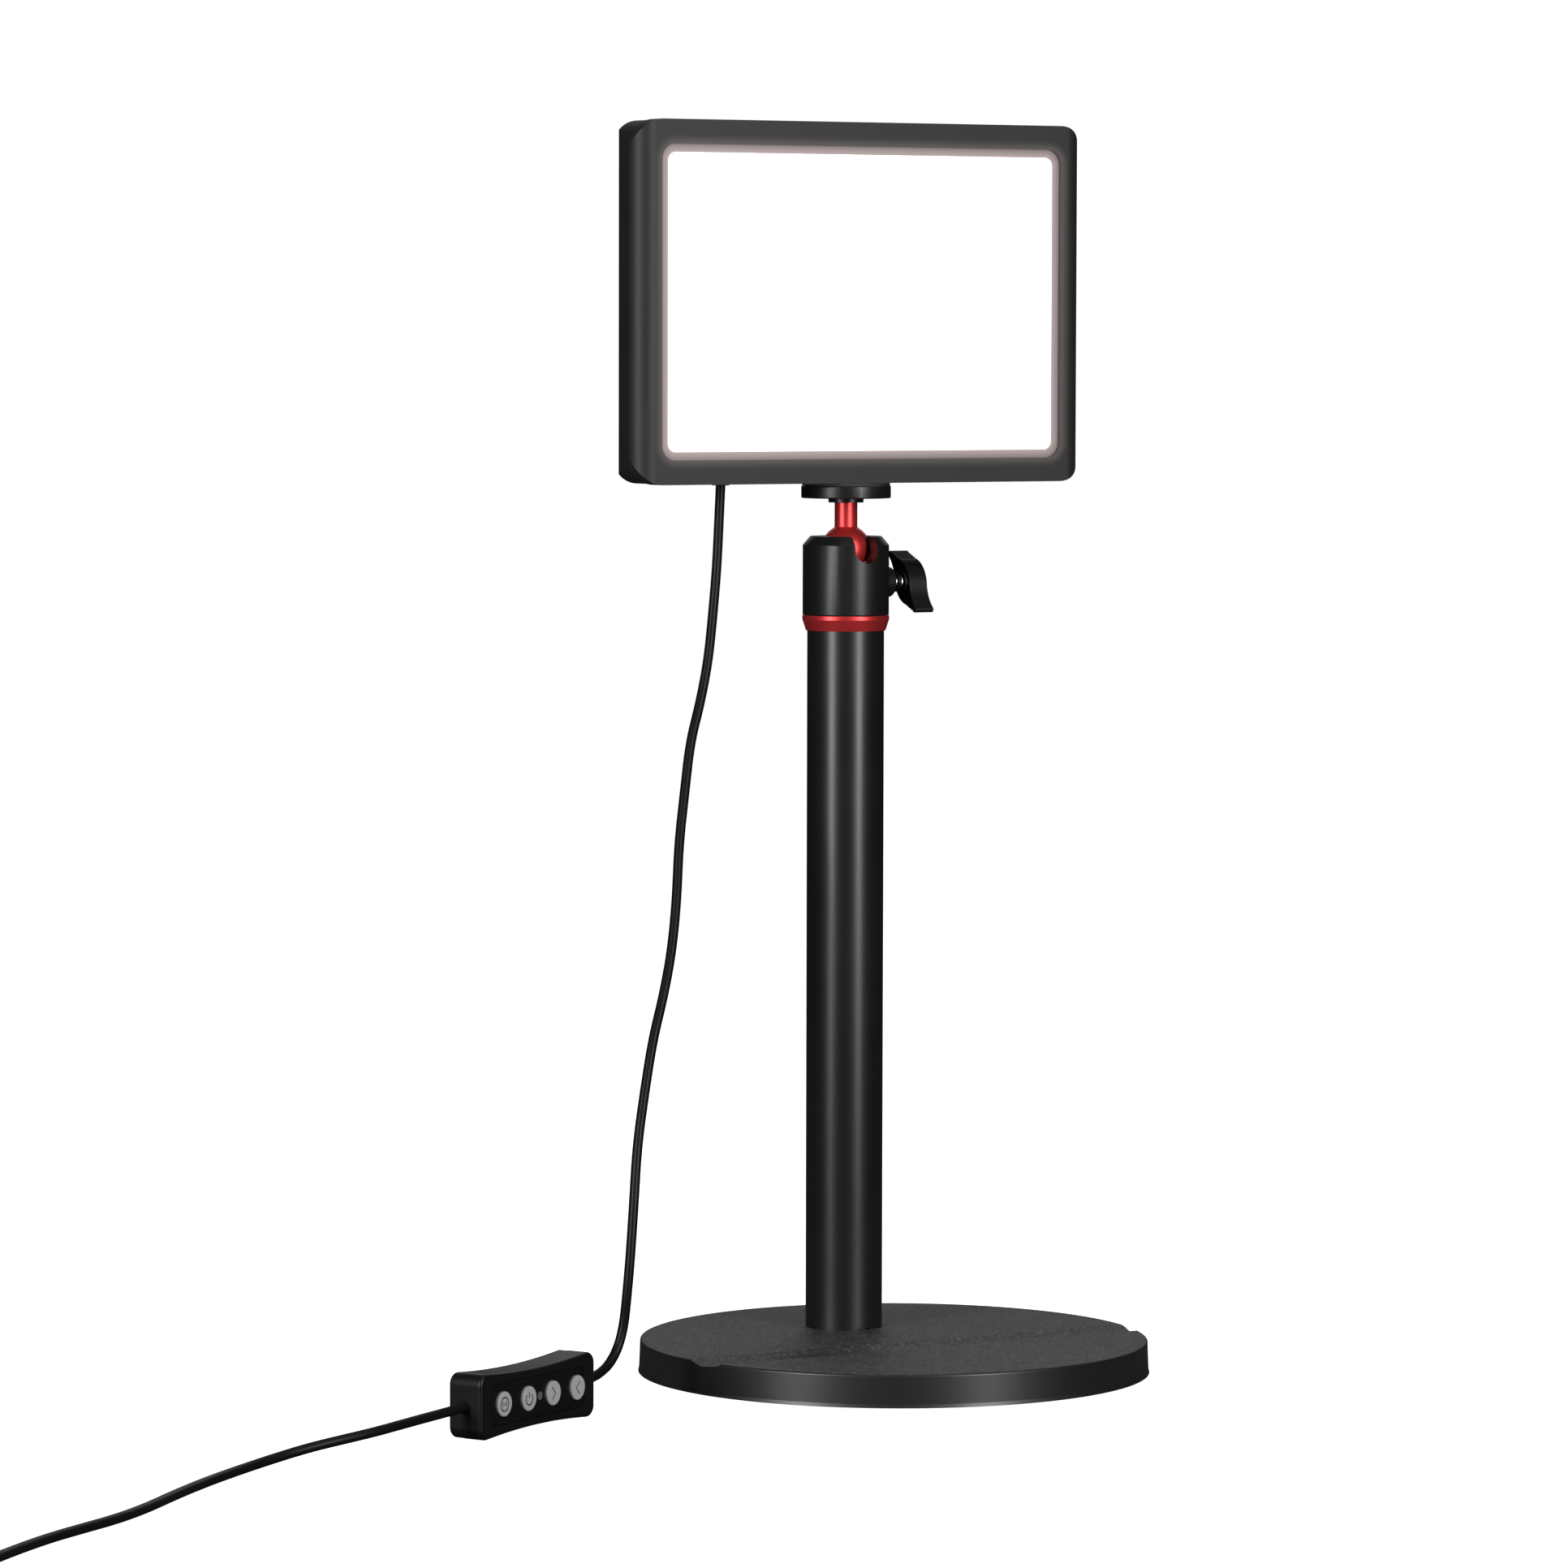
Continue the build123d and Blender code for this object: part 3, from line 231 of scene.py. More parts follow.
class Finish:
    """One material, built from the principled shader on Object coordinates."""

    def __init__(self, name):
        self.material = bpy.data.materials.new(name)
        self.material.use_nodes = True
        self.tree = self.material.node_tree
        self.shader = next(n for n in self.tree.nodes if n.type == "BSDF_PRINCIPLED")
        self.place = self.node("TexCoord", out="Object")
        self._axes = None

    def set(self, socket, value):
        if isinstance(value, Number):
            self.tree.links.new(value.socket, socket)
        elif hasattr(value, "__len__") and socket.type == "RGBA" and len(value) == 3:
            socket.default_value = (*value, 1.0)
        else:
            socket.default_value = value

    def node(self, kind, settings=None, sockets=None, out=0):
        """Adds one shader node: its settings first, then the values or links of its sockets."""
        made = self.tree.nodes.new("ShaderNode" + kind)
        for key, value in (settings or {}).items():
            if key == "stops":
                for index, (position, colour) in enumerate(value):
                    ramp = made.color_ramp.elements
                    stop = ramp[index] if index < 2 else ramp.new(position)
                    stop.position = position
                    stop.color = (*colour, 1.0)
            else:
                setattr(made, key, value)
        for key, value in (sockets or {}).items():
            self.set(made.inputs[key], value)
        return Number(self, made.outputs[out])

    def axis(self, index):
        if self._axes is None:
            split = self.tree.nodes.new("ShaderNodeSeparateXYZ")
            self.set(split.inputs[0], self.place)
            self._axes = split
        return Number(self, self._axes.outputs[index])

    def noise(self, size, detail=2.0, stretch=None):
        """Soft noise whose features are about size metres across."""
        place = self.place
        if stretch:
            place = self.node("Mapping", {}, {"Vector": self.place, "Scale": stretch})
        return self.node("TexNoise", {}, {"Vector": place, "Scale": 1 / size, "Detail": detail})

    def cells(self, size, out="Distance"):
        return self.node("TexVoronoi", {}, {"Vector": self.place, "Scale": 1 / size}, out=out)

    def mix(self, factor, dark, light):
        return self.node("Mix", {"data_type": "RGBA"}, {0: factor, 6: dark, 7: light}, out=2)

    def relief(self, height, depth, after=None):
        """Bumps the surface by height (0 to 1) times depth metres."""
        sockets = {"Height": height, "Distance": depth, "Strength": 1.0}
        if after:
            sockets["Normal"] = after
        return self.node("Bump", {}, sockets)

    def use(self, **sockets):
        for key, value in sockets.items():
            self.set(self.shader.inputs[key.replace("_", " ")], value)
        return self.material


def shade(colour, amount):
    return tuple(min(1.0, channel * amount) for channel in colour)


def moulded(name, colour, roughness, grain=0.00035, depth=0.000018, tone=0.18, level=0.5):
    """Moulded plastic or rubber: a fine eroded grain, with slow changes of tone and gloss."""
    finish = Finish(name)
    fine = finish.noise(grain, 3.0)
    slow = finish.noise(0.03, 2.0)
    return finish.use(**{
        "Base Color": finish.mix(slow, shade(colour, 1 - tone), shade(colour, 1 + tone)),
        "Roughness": (roughness - 0.08) + fine * 0.10 + slow * 0.06,
        "Normal": finish.relief(fine, depth),
        "Specular IOR Level": level,
    })


def turned(
    name, colour, roughness, metal, pitch=0.00022, depth=0.0000012, axis=2, tone=0.12, level=0.5,
):
    """Turned and anodised or plated metal: fine tool rings along one axis under a satin bloom."""
    finish = Finish(name)
    rings = (finish.axis(axis) * (2 * math.pi / pitch)).wave() * 0.5 + 0.5
    bloom = finish.noise(0.00025, 3.0)
    slow = finish.noise(0.012, 2.0)
    return finish.use(**{
        "Base Color": finish.mix(slow, shade(colour, 1 - tone), shade(colour, 1 + tone)),
        "Roughness": (roughness - 0.05) + bloom * 0.06 + slow * 0.05,
        "Normal": finish.relief(rings * 0.6 + bloom * 0.8, depth),
        "Metallic": metal,
        "Specular IOR Level": level,
    })


def powder_coat(name, colour, roughness):
    """Satin powder coat: a faint orange peel and the drawn tube's seam down the front."""
    finish = Finish(name)
    peel = finish.noise(0.0016, 2.0)
    fine = finish.noise(0.0003, 3.0)
    slow = finish.noise(0.045, 2.0)
    front = 1 - (finish.axis(1) - 0.0355).rise(-0.0001, 0.0001)
    seam = (1 - abs(finish.axis(0) + 0.0015).rise(0.00005, 0.00022)) * front
    return finish.use(**{
        "Base Color": finish.mix(slow, shade(colour, 0.85), shade(colour, 1.2)),
        "Roughness": (roughness - 0.05) + fine * 0.08 + slow * 0.05,
        "Normal": finish.relief(peel * 0.7 + fine * 0.3 - seam * 0.5, 0.000010),
        "Specular IOR Level": 0.42,
    })


def base_cover_finish(name, colour):
    """The base: an eroded top and groove floor with painted glints, bright flecks in its colour, and a smooth
    satin side.
    """
    finish = Finish(name)
    height = finish.axis(2)
    top = (height - BASE_TOP).rise(-0.0022, -0.0004)
    edge = (finish.node("VectorMath", {"operation": "LENGTH"}, {0: finish.node(
        "CombineXYZ", {}, {0: finish.axis(0), 1: finish.axis(1), 2: 0.0})}, out=1)).rise(0.0909, 0.0912)
    top = top * (1 - edge)
    sunk = 1 - (height - BASE_TOP).rise(-0.0003, -0.0001)
    wall = (1 - abs(finish.axis(1) + 0.0263).rise(0.0011, 0.0014)) * sunk
    top = top * (1 - wall)
    grain = finish.noise(0.0009, 3.0)
    fleck = finish.cells(0.0007, out="Color")
    fleck = finish.node("SeparateColor", {}, {0: fleck})
    # Painted glints: some flecks of the top are painted up to eight times as light as its colour, in place of
    # the sparkle of light on the eroded grain.
    painted_glint_mask = fleck.rise(0.55, 1.0)
    slow = finish.noise(0.02, 2.0)
    painted_sparkle_top = finish.mix(painted_glint_mask * 0.8 + grain * 0.2, shade(colour, 0.5), shade(colour, 8.0))
    smooth = finish.mix(slow, shade(colour, 0.6), shade(colour, 0.8))
    return finish.use(**{
        "Base Color": finish.mix(top, smooth, painted_sparkle_top),
        "Roughness": 0.34 + top * 0.16 + grain * 0.08,
        "Normal": finish.relief((grain * 0.7 + fleck * 0.6) * top + grain * 0.02, 0.00010),
    })


def outside(finish, half, corner):
    """How far a point of the lamp's front lies outside a rounded rectangle, in metres."""
    across = (abs(finish.axis(0)) - (half[0] - corner)).above(0.0)
    up = (abs(finish.axis(2) - PANEL_MIDDLE) - (half[1] - corner)).above(0.0)
    return (across * across + up * up) ** 0.5 - corner


def bezel_finish(name, colour):
    """The lamp's front: eroded plastic, with a painted glow round the window, where the bezel itself emits
    light in place of the window's light on its edge.
    """
    finish = Finish(name)
    # Painted glow: the front face emits a pinkish light that fades over 4.5 mm out from the opening, standing
    # in for the window's light falling on the bezel.
    front = 1 - (finish.axis(1) - 0.0224).rise(0.0006, 0.004)
    away = outside(finish, OPENING_HALF, OPENING_CORNER)
    painted_halo = (1 - away.rise(0.0, 0.0045)) ** 2.0 * front
    fine = finish.noise(0.0005, 3.0)
    slow = finish.noise(0.03, 2.0)
    painted_glow_colour = finish.mix(painted_halo, (0.0, 0.0, 0.0), (0.062, 0.053, 0.052))
    return finish.use(**{
        "Base Color": finish.mix(slow, shade(colour, 0.85), shade(colour, 1.2)),
        "Roughness": 0.46 + fine * 0.10 + slow * 0.05,
        "Normal": finish.relief(fine, 0.000022),
        "Emission Color": painted_glow_colour,
        "Emission Strength": 1.0,
        "Specular IOR Level": 0.3,
    })


def lamp_finish(name, colour, strength):
    """The lit opal window: even, then fading over the frosted band round the light guide."""
    finish = Finish(name)
    away = outside(finish, LIT_HALF, LIT_CORNER)
    band = away.rise(-0.0003, 0.0003)
    fade = ((0.42 - away * 85.0) / strength).above(0.0).below(1.0)
    cloud = finish.noise(0.02, 1.0)
    body = finish.mix(cloud, shade(colour, 0.985), colour)
    frost = finish.mix(fade, (0.0, 0.0, 0.0), (1.0, 0.78, 0.77))
    return finish.use(**{
        "Base Color": finish.mix(band, (0.9, 0.9, 0.9), (0.03, 0.03, 0.03)),
        "Roughness": 0.25 + band * 0.25,
        "Emission Color": finish.mix(band, body, frost),
        "Emission Strength": strength,
        "Normal": finish.relief(finish.noise(0.0008, 2.0), 0.000004),
    })


def cord_finish(name):
    """Matte PVC with the fine drag lines of its extrusion."""
    finish = Finish(name)
    fine = finish.noise(0.0004, 3.0)
    slow = finish.noise(0.02, 2.0)
    return finish.use(**{
        "Base Color": finish.mix(slow, (0.003, 0.003, 0.003), (0.006, 0.006, 0.006)),
        "Roughness": 0.30 + fine * 0.08 + slow * 0.08,
        "Specular IOR Level": 0.14,
        "Normal": finish.relief(fine * 0.5 + slow * 0.5, 0.000012),
    })


def board_finish(name, colour):
    """Solder mask over copper tracks."""
    finish = Finish(name)
    tracks = (finish.noise(0.004, 0.0, stretch=(1.0, 1.0, 0.25))).rise(0.48, 0.52)
    return finish.use(**{
        "Base Color": finish.mix(tracks, shade(colour, 0.8), shade(colour, 1.25)),
        "Roughness": 0.35 + tracks * 0.08,
        "Normal": finish.relief(tracks, 0.00003),
    })


def woven_finish(name, colour):
    """Hook-and-loop strap."""
    finish = Finish(name)
    weft = (finish.axis(2) * 9000.0).wave() * 0.5 + 0.5
    fuzz = finish.noise(0.0003, 4.0)
    return finish.use(**{
        "Base Color": finish.mix(fuzz, shade(colour, 0.7), shade(colour, 1.6)),
        "Roughness": 0.8 + fuzz * 0.15,
        "Normal": finish.relief(weft * 0.5 + fuzz * 0.5, 0.00012),
    })


# --------------------------------------------------------------------------------------- pieces


def dress(material, *names):
    """Gives CAD nodes their finish."""
    for name in names:
        slots = NODES[name].data.materials
        slots.clear()
        slots.append(material)
        for face in NODES[name].data.polygons:
            face.material_index = 0


def softened(node, name, width, material, angle=30.0, segments=2):
    """A merged copy of a CAD node with its sharp edges broken, which stands for the node."""
    source = NODES[node]
    body = body_of(source)[0]
    form = bmesh.new()
    form.from_mesh(source.data)
    bmesh.ops.remove_doubles(form, verts=form.verts, dist=0.000004)
    bmesh.ops.dissolve_limit(
        form, angle_limit=math.radians(0.6), verts=form.verts, edges=form.edges, use_dissolve_boundaries=False
    )
    mesh = bpy.data.meshes.new(name)
    form.to_mesh(mesh)
    form.free()
    mesh.set_sharp_from_angle(angle=math.radians(angle))
    for face in mesh.polygons:
        face.use_smooth = True
    mesh.materials.append(material)
    piece = bpy.data.objects.new(name, mesh)
    bpy.context.scene.collection.objects.link(piece)
    bevel = piece.modifiers.new("Broken edges", "BEVEL")
    bevel.width = width
    bevel.segments = segments
    bevel.profile = 0.5
    bevel.limit_method = "ANGLE"
    bevel.angle_limit = math.radians(angle)
    bevel.material = -1
    bevel.harden_normals = True
    bevel.use_clamp_overlap = True
    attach(piece, body)
    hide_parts(node)
    return piece


def cord_curve(name, points, radius):
    """A smooth cord through metres of control points."""
    curve = bpy.data.curves.new(name, "CURVE")
    curve.dimensions = "3D"
    curve.bevel_depth = radius
    curve.bevel_resolution = 4
    curve.resolution_u = 8
    curve.use_fill_caps = True
    spline = curve.splines.new("NURBS")
    spline.points.add(len(points) - 1)
    for point, place in zip(spline.points, points):
        point.co = (*place, 1.0)
    spline.order_u = 3
    spline.use_endpoint_u = True
    cord = bpy.data.objects.new(name, curve)
    bpy.context.scene.collection.objects.link(cord)
    return cord


def cord_mesh(name, points, radius):
    """The same cord as a mesh that can bend across a joint, and the line that it follows."""
    cord = cord_curve(name + "_curve", points, radius)
    bpy.context.view_layer.update()
    mesh = bpy.data.meshes.new_from_object(cord)
    cord.data.bevel_depth = 0
    bpy.context.view_layer.update()
    line = [vertex.co.copy() for vertex in bpy.data.meshes.new_from_object(cord).vertices]
    bpy.data.objects.remove(cord)
    for face in mesh.polygons:
        face.use_smooth = True
    mesh.name = name
    piece = bpy.data.objects.new(name, mesh)
    bpy.context.scene.collection.objects.link(piece)
    return piece, line


def in_mm(points):
    return [tuple(MM * value for value in point) for point in points]


PANEL_LEAD = in_mm([
    (-51, 38, 319.8), (-52, 37.4, 306.5), (-53.5, 36.3, 290), (-56.5, 34, 272.5), (-60, 31, 257),
    (-62.5, 29.5, 249.5),
])
HANGING_LEAD = in_mm([
    (-62.5, 29.5, 249.5), (-65, 28, 242), (-71, 24.5, 228.5), (-76, 19.5, 211.5), (-81.5, 14, 193),
    (-86, 7.5, 173.5), (-91, 2, 156.5), (-97, -3, 141.5), (-104, -7.5, 126), (-110, -12.5, 108.5),
    (-115.5, -17, 90), (-119, -21, 70.5), (-121.5, -23, 52), (-122.9, -23.1, 38.5), (-123.3, -21.6, 27.8),
    (-125.7, -21.9, 20.2), (-130.6, -24.4, 14.9), (-136.6, -27.6, 12.3), (-142.1, -30.5, 11.5),
    (-147.7, -33.5, 11.3),
])
FLOOR_LEAD = in_mm([
    (-209.5, -66.3, 11.3), (-219.5, -71, 10.9), (-235, -77.5, 10), (-251.5, -84, 8.8), (-264.5, -86, 7.5),
    (-277, -86.5, 5.9), (-289.5, -88, 3.9), (-305, -94, 2.2), (-324.5, -108.5, 1.8), (-346.5, -128.5, 1.8),
    (-366, -148, 1.8), (-383.5, -162.5, 1.8), (-400.5, -173.5, 1.8), (-416, -184, 1.8), (-432.5, -197.5, 1.8),
    (-447, -210.4, 1.8), (-457.5, -221, 1.8),
])
PLUG_LEAD = in_mm([
    (-508.4, -210.4, 12.6), (-510.8, -207.3, 12.2), (-514.6, -201, 10.6), (-520.7, -190.8, 7.6),
    (-526.5, -180.6, 5), (-531.6, -171.8, 4.2),
])
COIL_MIDDLE = (-484.1, -214.0)
COLUMNS = (23.8, 20.2, 16.6)
LAYER = 3.6
COIL_FLOOR = 1.85                     # height of the lowest turns
COIL_START = -65                      # heading of the coil's beginning, in degrees
COIL_END = 360 * 9 + 115              # how far it winds, in degrees
SHIFT_SPREAD = 60                     # how many degrees a move to the next column or layer takes


def coil_points(turn_points):
    """Control points of the wound length, clockwise from above: three columns and three layers, then out."""
    swell = 1 / (0.75 + 0.25 * math.cos(2 * math.pi / turn_points))
    order = [(c, layer) for layer in range(3) for c in (COLUMNS, COLUMNS[::-1], COLUMNS)[layer]]
    # Where in its turn each move to the next column or layer happens, in degrees from the start.
    shifts = [300, 300, 240, 180, 180, 120, 60, 60, 0]
    moves = []
    for turn in range(len(order)):
        after = order[turn + 1] if turn + 1 < len(order) else (COLUMNS[2], 3)
        moves.append((360.0 * turn + shifts[turn], after))
    points = []
    count = int(COIL_END / 360 * turn_points)
    for index in range(1, count + 1):
        angle = COIL_END * index / count
        radius, layer = COLUMNS[0], 0.0
        for start, (next_radius, next_layer) in moves:
            share = min(1.0, max(0.0, (angle - start) / SHIFT_SPREAD))
            share = share * share * (3 - 2 * share)
            radius += (next_radius - radius) * share
            layer += (next_layer - layer) * share
        widen = min(1.0, max(0.0, (angle - (COIL_END - 150)) / 130))
        radius += (COLUMNS[0] - 0.8 - radius) * widen * widen * (3 - 2 * widen)
        way = math.radians(COIL_START - angle)
        points.append((
            MM * (COIL_MIDDLE[0] + radius * swell * math.cos(way)),
            MM * (COIL_MIDDLE[1] + radius * swell * math.sin(way)),
            MM * (COIL_FLOOR + LAYER * layer),
        ))
    return points


SIGNS = {
    "button_mode": [
        [(2.35 * math.cos(a * math.pi / 12), 2.35 * math.sin(a * math.pi / 12)) for a in range(25)],
        [(-1.1, -0.9), (-1.1, 1.0), (0.0, -0.35), (1.1, 1.0), (1.1, -0.9)],
    ],
    "button_power": [
        [(2.0 * math.sin(math.radians(a)), 2.0 * math.cos(math.radians(a)) - 0.15)
         for a in range(40, 321, 20)],
        [(0.0, 2.3), (0.0, 0.2)],
    ],
    "button_down": [[(-1.0, 2.2), (1.1, 0.0), (-1.0, -2.2)][::-1]],
    "button_up": [[(1.0, 2.2), (-1.1, 0.0), (1.0, -2.2)][::-1]],
}


def face_place(along, up, out):
    """A point on the controller's face: along it to the right, up, and out from its middle."""
    cos, sin = math.cos(FACE_TURN), math.sin(FACE_TURN)
    return FACE_MIDDLE + Vector((along * cos + out * sin, along * sin - out * cos, up))


def printed_sign(button, strokes, ink):
    """A sign printed on a cap, as flat strokes a hair proud of it."""
    low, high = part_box(button)
    middle = [(a + b) / 2 for a, b in zip(low, high)]
    along = (Vector(middle) - FACE_MIDDLE).dot(Vector((math.cos(FACE_TURN), math.sin(FACE_TURN), 0)))
    curve = bpy.data.curves.new(button + "_sign", "CURVE")
    curve.dimensions = "3D"
    curve.bevel_depth = 0.24 * MM
    curve.bevel_resolution = 2
    curve.use_fill_caps = True
    for stroke in strokes:
        spline = curve.splines.new("POLY")
        spline.points.add(len(stroke) - 1)
        for point, (x, y) in zip(spline.points, stroke):
            point.co = (x * MM, y * MM, 0.0, 1.0)
    drawn = bpy.data.objects.new(button + "_sign_curve", curve)
    bpy.context.scene.collection.objects.link(drawn)
    bpy.context.view_layer.update()
    mesh = bpy.data.meshes.new_from_object(drawn)
    bpy.data.objects.remove(drawn)
    for vertex in mesh.vertices:
        x, y, z = vertex.co
        vertex.co = face_place(along + x, y, BUTTON_TOP + z * 0.2)
    mesh.materials.clear()
    mesh.materials.append(ink)
    sign = bpy.data.objects.new(button + "_sign", mesh)
    bpy.context.scene.collection.objects.link(sign)
    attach(sign, body_of(NODES[button])[0])
    return sign


def area_light(name, place, target, size, power, colour=(1, 1, 1)):
    light = bpy.data.lights.new(name, "AREA")
    light.shape = "RECTANGLE"
    light.size, light.size_y = size
    light.energy = power
    light.color = colour
    lamp = bpy.data.objects.new(name, light)
    lamp.location = place
    lamp.rotation_mode = "QUATERNION"
    lamp.rotation_quaternion = (Vector(target) - Vector(place)).to_track_quat("-Z", "Y")
    bpy.context.scene.collection.objects.link(lamp)
    return lamp


# ------------------------------------------------------------------------------------ operators


class PANELLIGHT_OT_stage(Operator):
    """Camera, softboxes, room and floor"""

    bl_idname = "panel_light.stage"
    bl_label = "Stage"

    CAMERA_PLACE = (-1.31216, -2.17855, 0.37664)
    CAMERA_TURN = (30.157, -3.690, 0.129)       # yaw to the right, pitch up, roll
    SOFTBOX_TURN = 41.0                         # each side of the camera, seen from the pole
    SOFTBOX_DISTANCE = 1.5

    def execute(self, context):
        settings = context.scene.panel_light_stage
        scene = context.scene
        scene.view_settings.view_transform = "Standard"
        self.make_camera(scene, settings)
        self.make_room(scene, settings)
        self.make_floor(scene)
        self.make_lights(settings)
        return {"FINISHED"}

    def make_camera(self, scene, settings):
        yaw, pitch, roll = map(math.radians, self.CAMERA_TURN)
        ahead = Vector((math.sin(yaw) * math.cos(pitch), math.cos(yaw) * math.cos(pitch), math.sin(pitch)))
        right = Vector((math.cos(yaw), -math.sin(yaw), 0))
        up = right.cross(ahead)
        turned_right = right * math.cos(roll) + up * math.sin(roll)
        turned_up = up * math.cos(roll) - right * math.sin(roll)
        data = bpy.data.cameras.new("Camera")
        data.lens = settings.lens
        data.sensor_width = 36.0
        data.clip_end = 50.0
        camera = bpy.data.objects.new("Camera", data)
        camera.matrix_world = Matrix.Translation(self.CAMERA_PLACE) @ Matrix(
            (turned_right, turned_up, -ahead)
        ).transposed().to_4x4()
        scene.collection.objects.link(camera)
        scene.camera = camera

    def make_room(self, scene, settings):
        world = bpy.data.worlds.new("Room")
        world.use_nodes = True
        scene.world = world
        tree = world.node_tree
        shown, felt = tree.nodes["Background"], tree.nodes.new("ShaderNodeBackground")
        shown.inputs["Color"].default_value = (1, 1, 1, 1)
        shown.inputs["Strength"].default_value = 1.02
        felt.inputs["Color"].default_value = (1, 1, 1, 1)
        felt.inputs["Strength"].default_value = settings.fill
        path = tree.nodes.new("ShaderNodeLightPath")
        either = tree.nodes.new("ShaderNodeMixShader")
        tree.links.new(path.outputs["Is Camera Ray"], either.inputs[0])
        tree.links.new(felt.outputs[0], either.inputs[1])
        tree.links.new(shown.outputs[0], either.inputs[2])
        tree.links.new(either.outputs[0], tree.nodes["World Output"].inputs[0])

    def make_floor(self, scene):
        form = bmesh.new()
        bmesh.ops.create_grid(form, x_segments=1, y_segments=1, size=12)
        bmesh.ops.translate(form, verts=form.verts, vec=(0, 0, -0.00005))
        mesh = bpy.data.meshes.new("floor")
        form.to_mesh(mesh)
        form.free()
        floor = bpy.data.objects.new("floor", mesh)
        scene.collection.objects.link(floor)
        finish = Finish("Pale floor")
        seen = finish.node("LightPath", out="Is Camera Ray")
        mesh.materials.append(finish.use(**{
            "Base Color": finish.mix(seen, (0.06, 0.06, 0.06), (0.9, 0.9, 0.9)),
            "Roughness": 0.9,
            "Specular IOR Level": 0.0,
            "Emission Color": finish.mix(seen, (0.0, 0.0, 0.0), (1.0, 1.0, 1.0)),
            "Emission Strength": 1.0,
        }))

    def make_lights(self, settings):
        away = Vector(self.CAMERA_PLACE) - POLE
        heading = math.atan2(away.y, away.x)
        for side, name in ((-1, "Left softbox"), (1, "Right softbox")):
            turn = heading + side * math.radians(-self.SOFTBOX_TURN)
            place = POLE + Vector((math.cos(turn), math.sin(turn), 0)) * self.SOFTBOX_DISTANCE
            place.z = 0.56
            area_light(name, place, POLE + Vector((0, 0, 0.34)), (0.30, 1.0), settings.softbox_strength)
        behind = POLE - Vector((away.x, away.y, 0)).normalized() * 1.6 + Vector((0, 0, 0.9))
        area_light("Back light", behind, POLE + Vector((0, 0, 0.1)), (1.6, 0.8), 3.0)
        area_light("Top light", (0.1, -0.3, 1.7), (0, 0, 0.1), (1.2, 1.2), 3.2)


class PANELLIGHT_OT_cords(Operator):
    """The lead from the lamp to the controller, and on over the floor into its tied coil and plug"""

    bl_idname = "panel_light.cords"
    bl_label = "Cords"

    def execute(self, context):
        settings = context.scene.panel_light_cord
        pvc = cord_finish("Cord PVC")
        top, line = cord_mesh("panel_lead", PANEL_LEAD, settings.radius)
        top.data.materials.clear()
        top.data.materials.append(pvc)
        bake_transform(top, "panel", "ball", start=(-0.051, 0.038, 0.318), end=(-0.060, 0.031, 0.258))
        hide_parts("upper_cord_top")
        hanging, line = cord_mesh("hanging_lead", HANGING_LEAD, settings.radius)
        hanging.data.materials.clear()
        hanging.data.materials.append(pvc)
        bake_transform(hanging, "ball", "stand", start=(-0.0625, 0.0295, 0.2485), end=(-0.104, -0.0075, 0.120))
        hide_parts("upper_cord")
        route = FLOOR_LEAD + coil_points(settings.turn_points) + PLUG_LEAD
        floor = cord_curve("floor_lead", route, settings.radius)
        floor.data.materials.append(pvc)
        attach(floor, "stand")
        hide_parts("lower_cord", "cord_coil", "cord_tail")
        dress(pvc, "cord_gland", "controller_grommets")
        dress(moulded("Plug PVC", (0.012, 0.012, 0.012), 0.45), "usb_plug_body")
        dress(woven_finish("Strap weave", (0.012, 0.012, 0.013)), "coil_tie")
        dress(turned("Plug plating", (0.72, 0.72, 0.73), 0.22, 1.0), "usb_plug_shell")
        dress(moulded("Contact carrier", (0.75, 0.75, 0.74), 0.4), "usb_plug_tongue")
        return {"FINISHED"}


class PANELLIGHT_OT_base(Operator):
    """The weighted base with its textured top"""

    bl_idname = "panel_light.base"
    bl_label = "Base"

    def execute(self, context):
        settings = context.scene.panel_light_finish
        dress(base_cover_finish("Base cover", settings.shell_colour), "base_cover")
        dress(turned("Zinc plate", (0.5, 0.5, 0.5), 0.4, 1.0, pitch=0.0008, axis=0), "base_weight")
        dress(moulded("Base rubber", (0.012, 0.012, 0.012), 0.8, grain=0.0008, depth=0.00006), "base_pad")
        return {"FINISHED"}


class PANELLIGHT_OT_pole(Operator):
    """The pole and its fastenings"""

    bl_idname = "panel_light.pole"
    bl_label = "Pole"

    def execute(self, context):
        settings = context.scene.panel_light_finish
        dress(powder_coat("Pole coat", settings.pole_colour, 0.31), "pole_tube")
        dress(moulded("Pole plugs", (0.02, 0.02, 0.02), 0.5), "pole_foot_plug", "pole_top_plug")
        dress(
            turned("Plated steel", (0.62, 0.62, 0.63), 0.28, 1.0),
            "pole_bolt", "pole_washer", "head_stud", "camera_stud", "base_screws", "panel_screws",
            "controller_screws",
        )
        return {"FINISHED"}


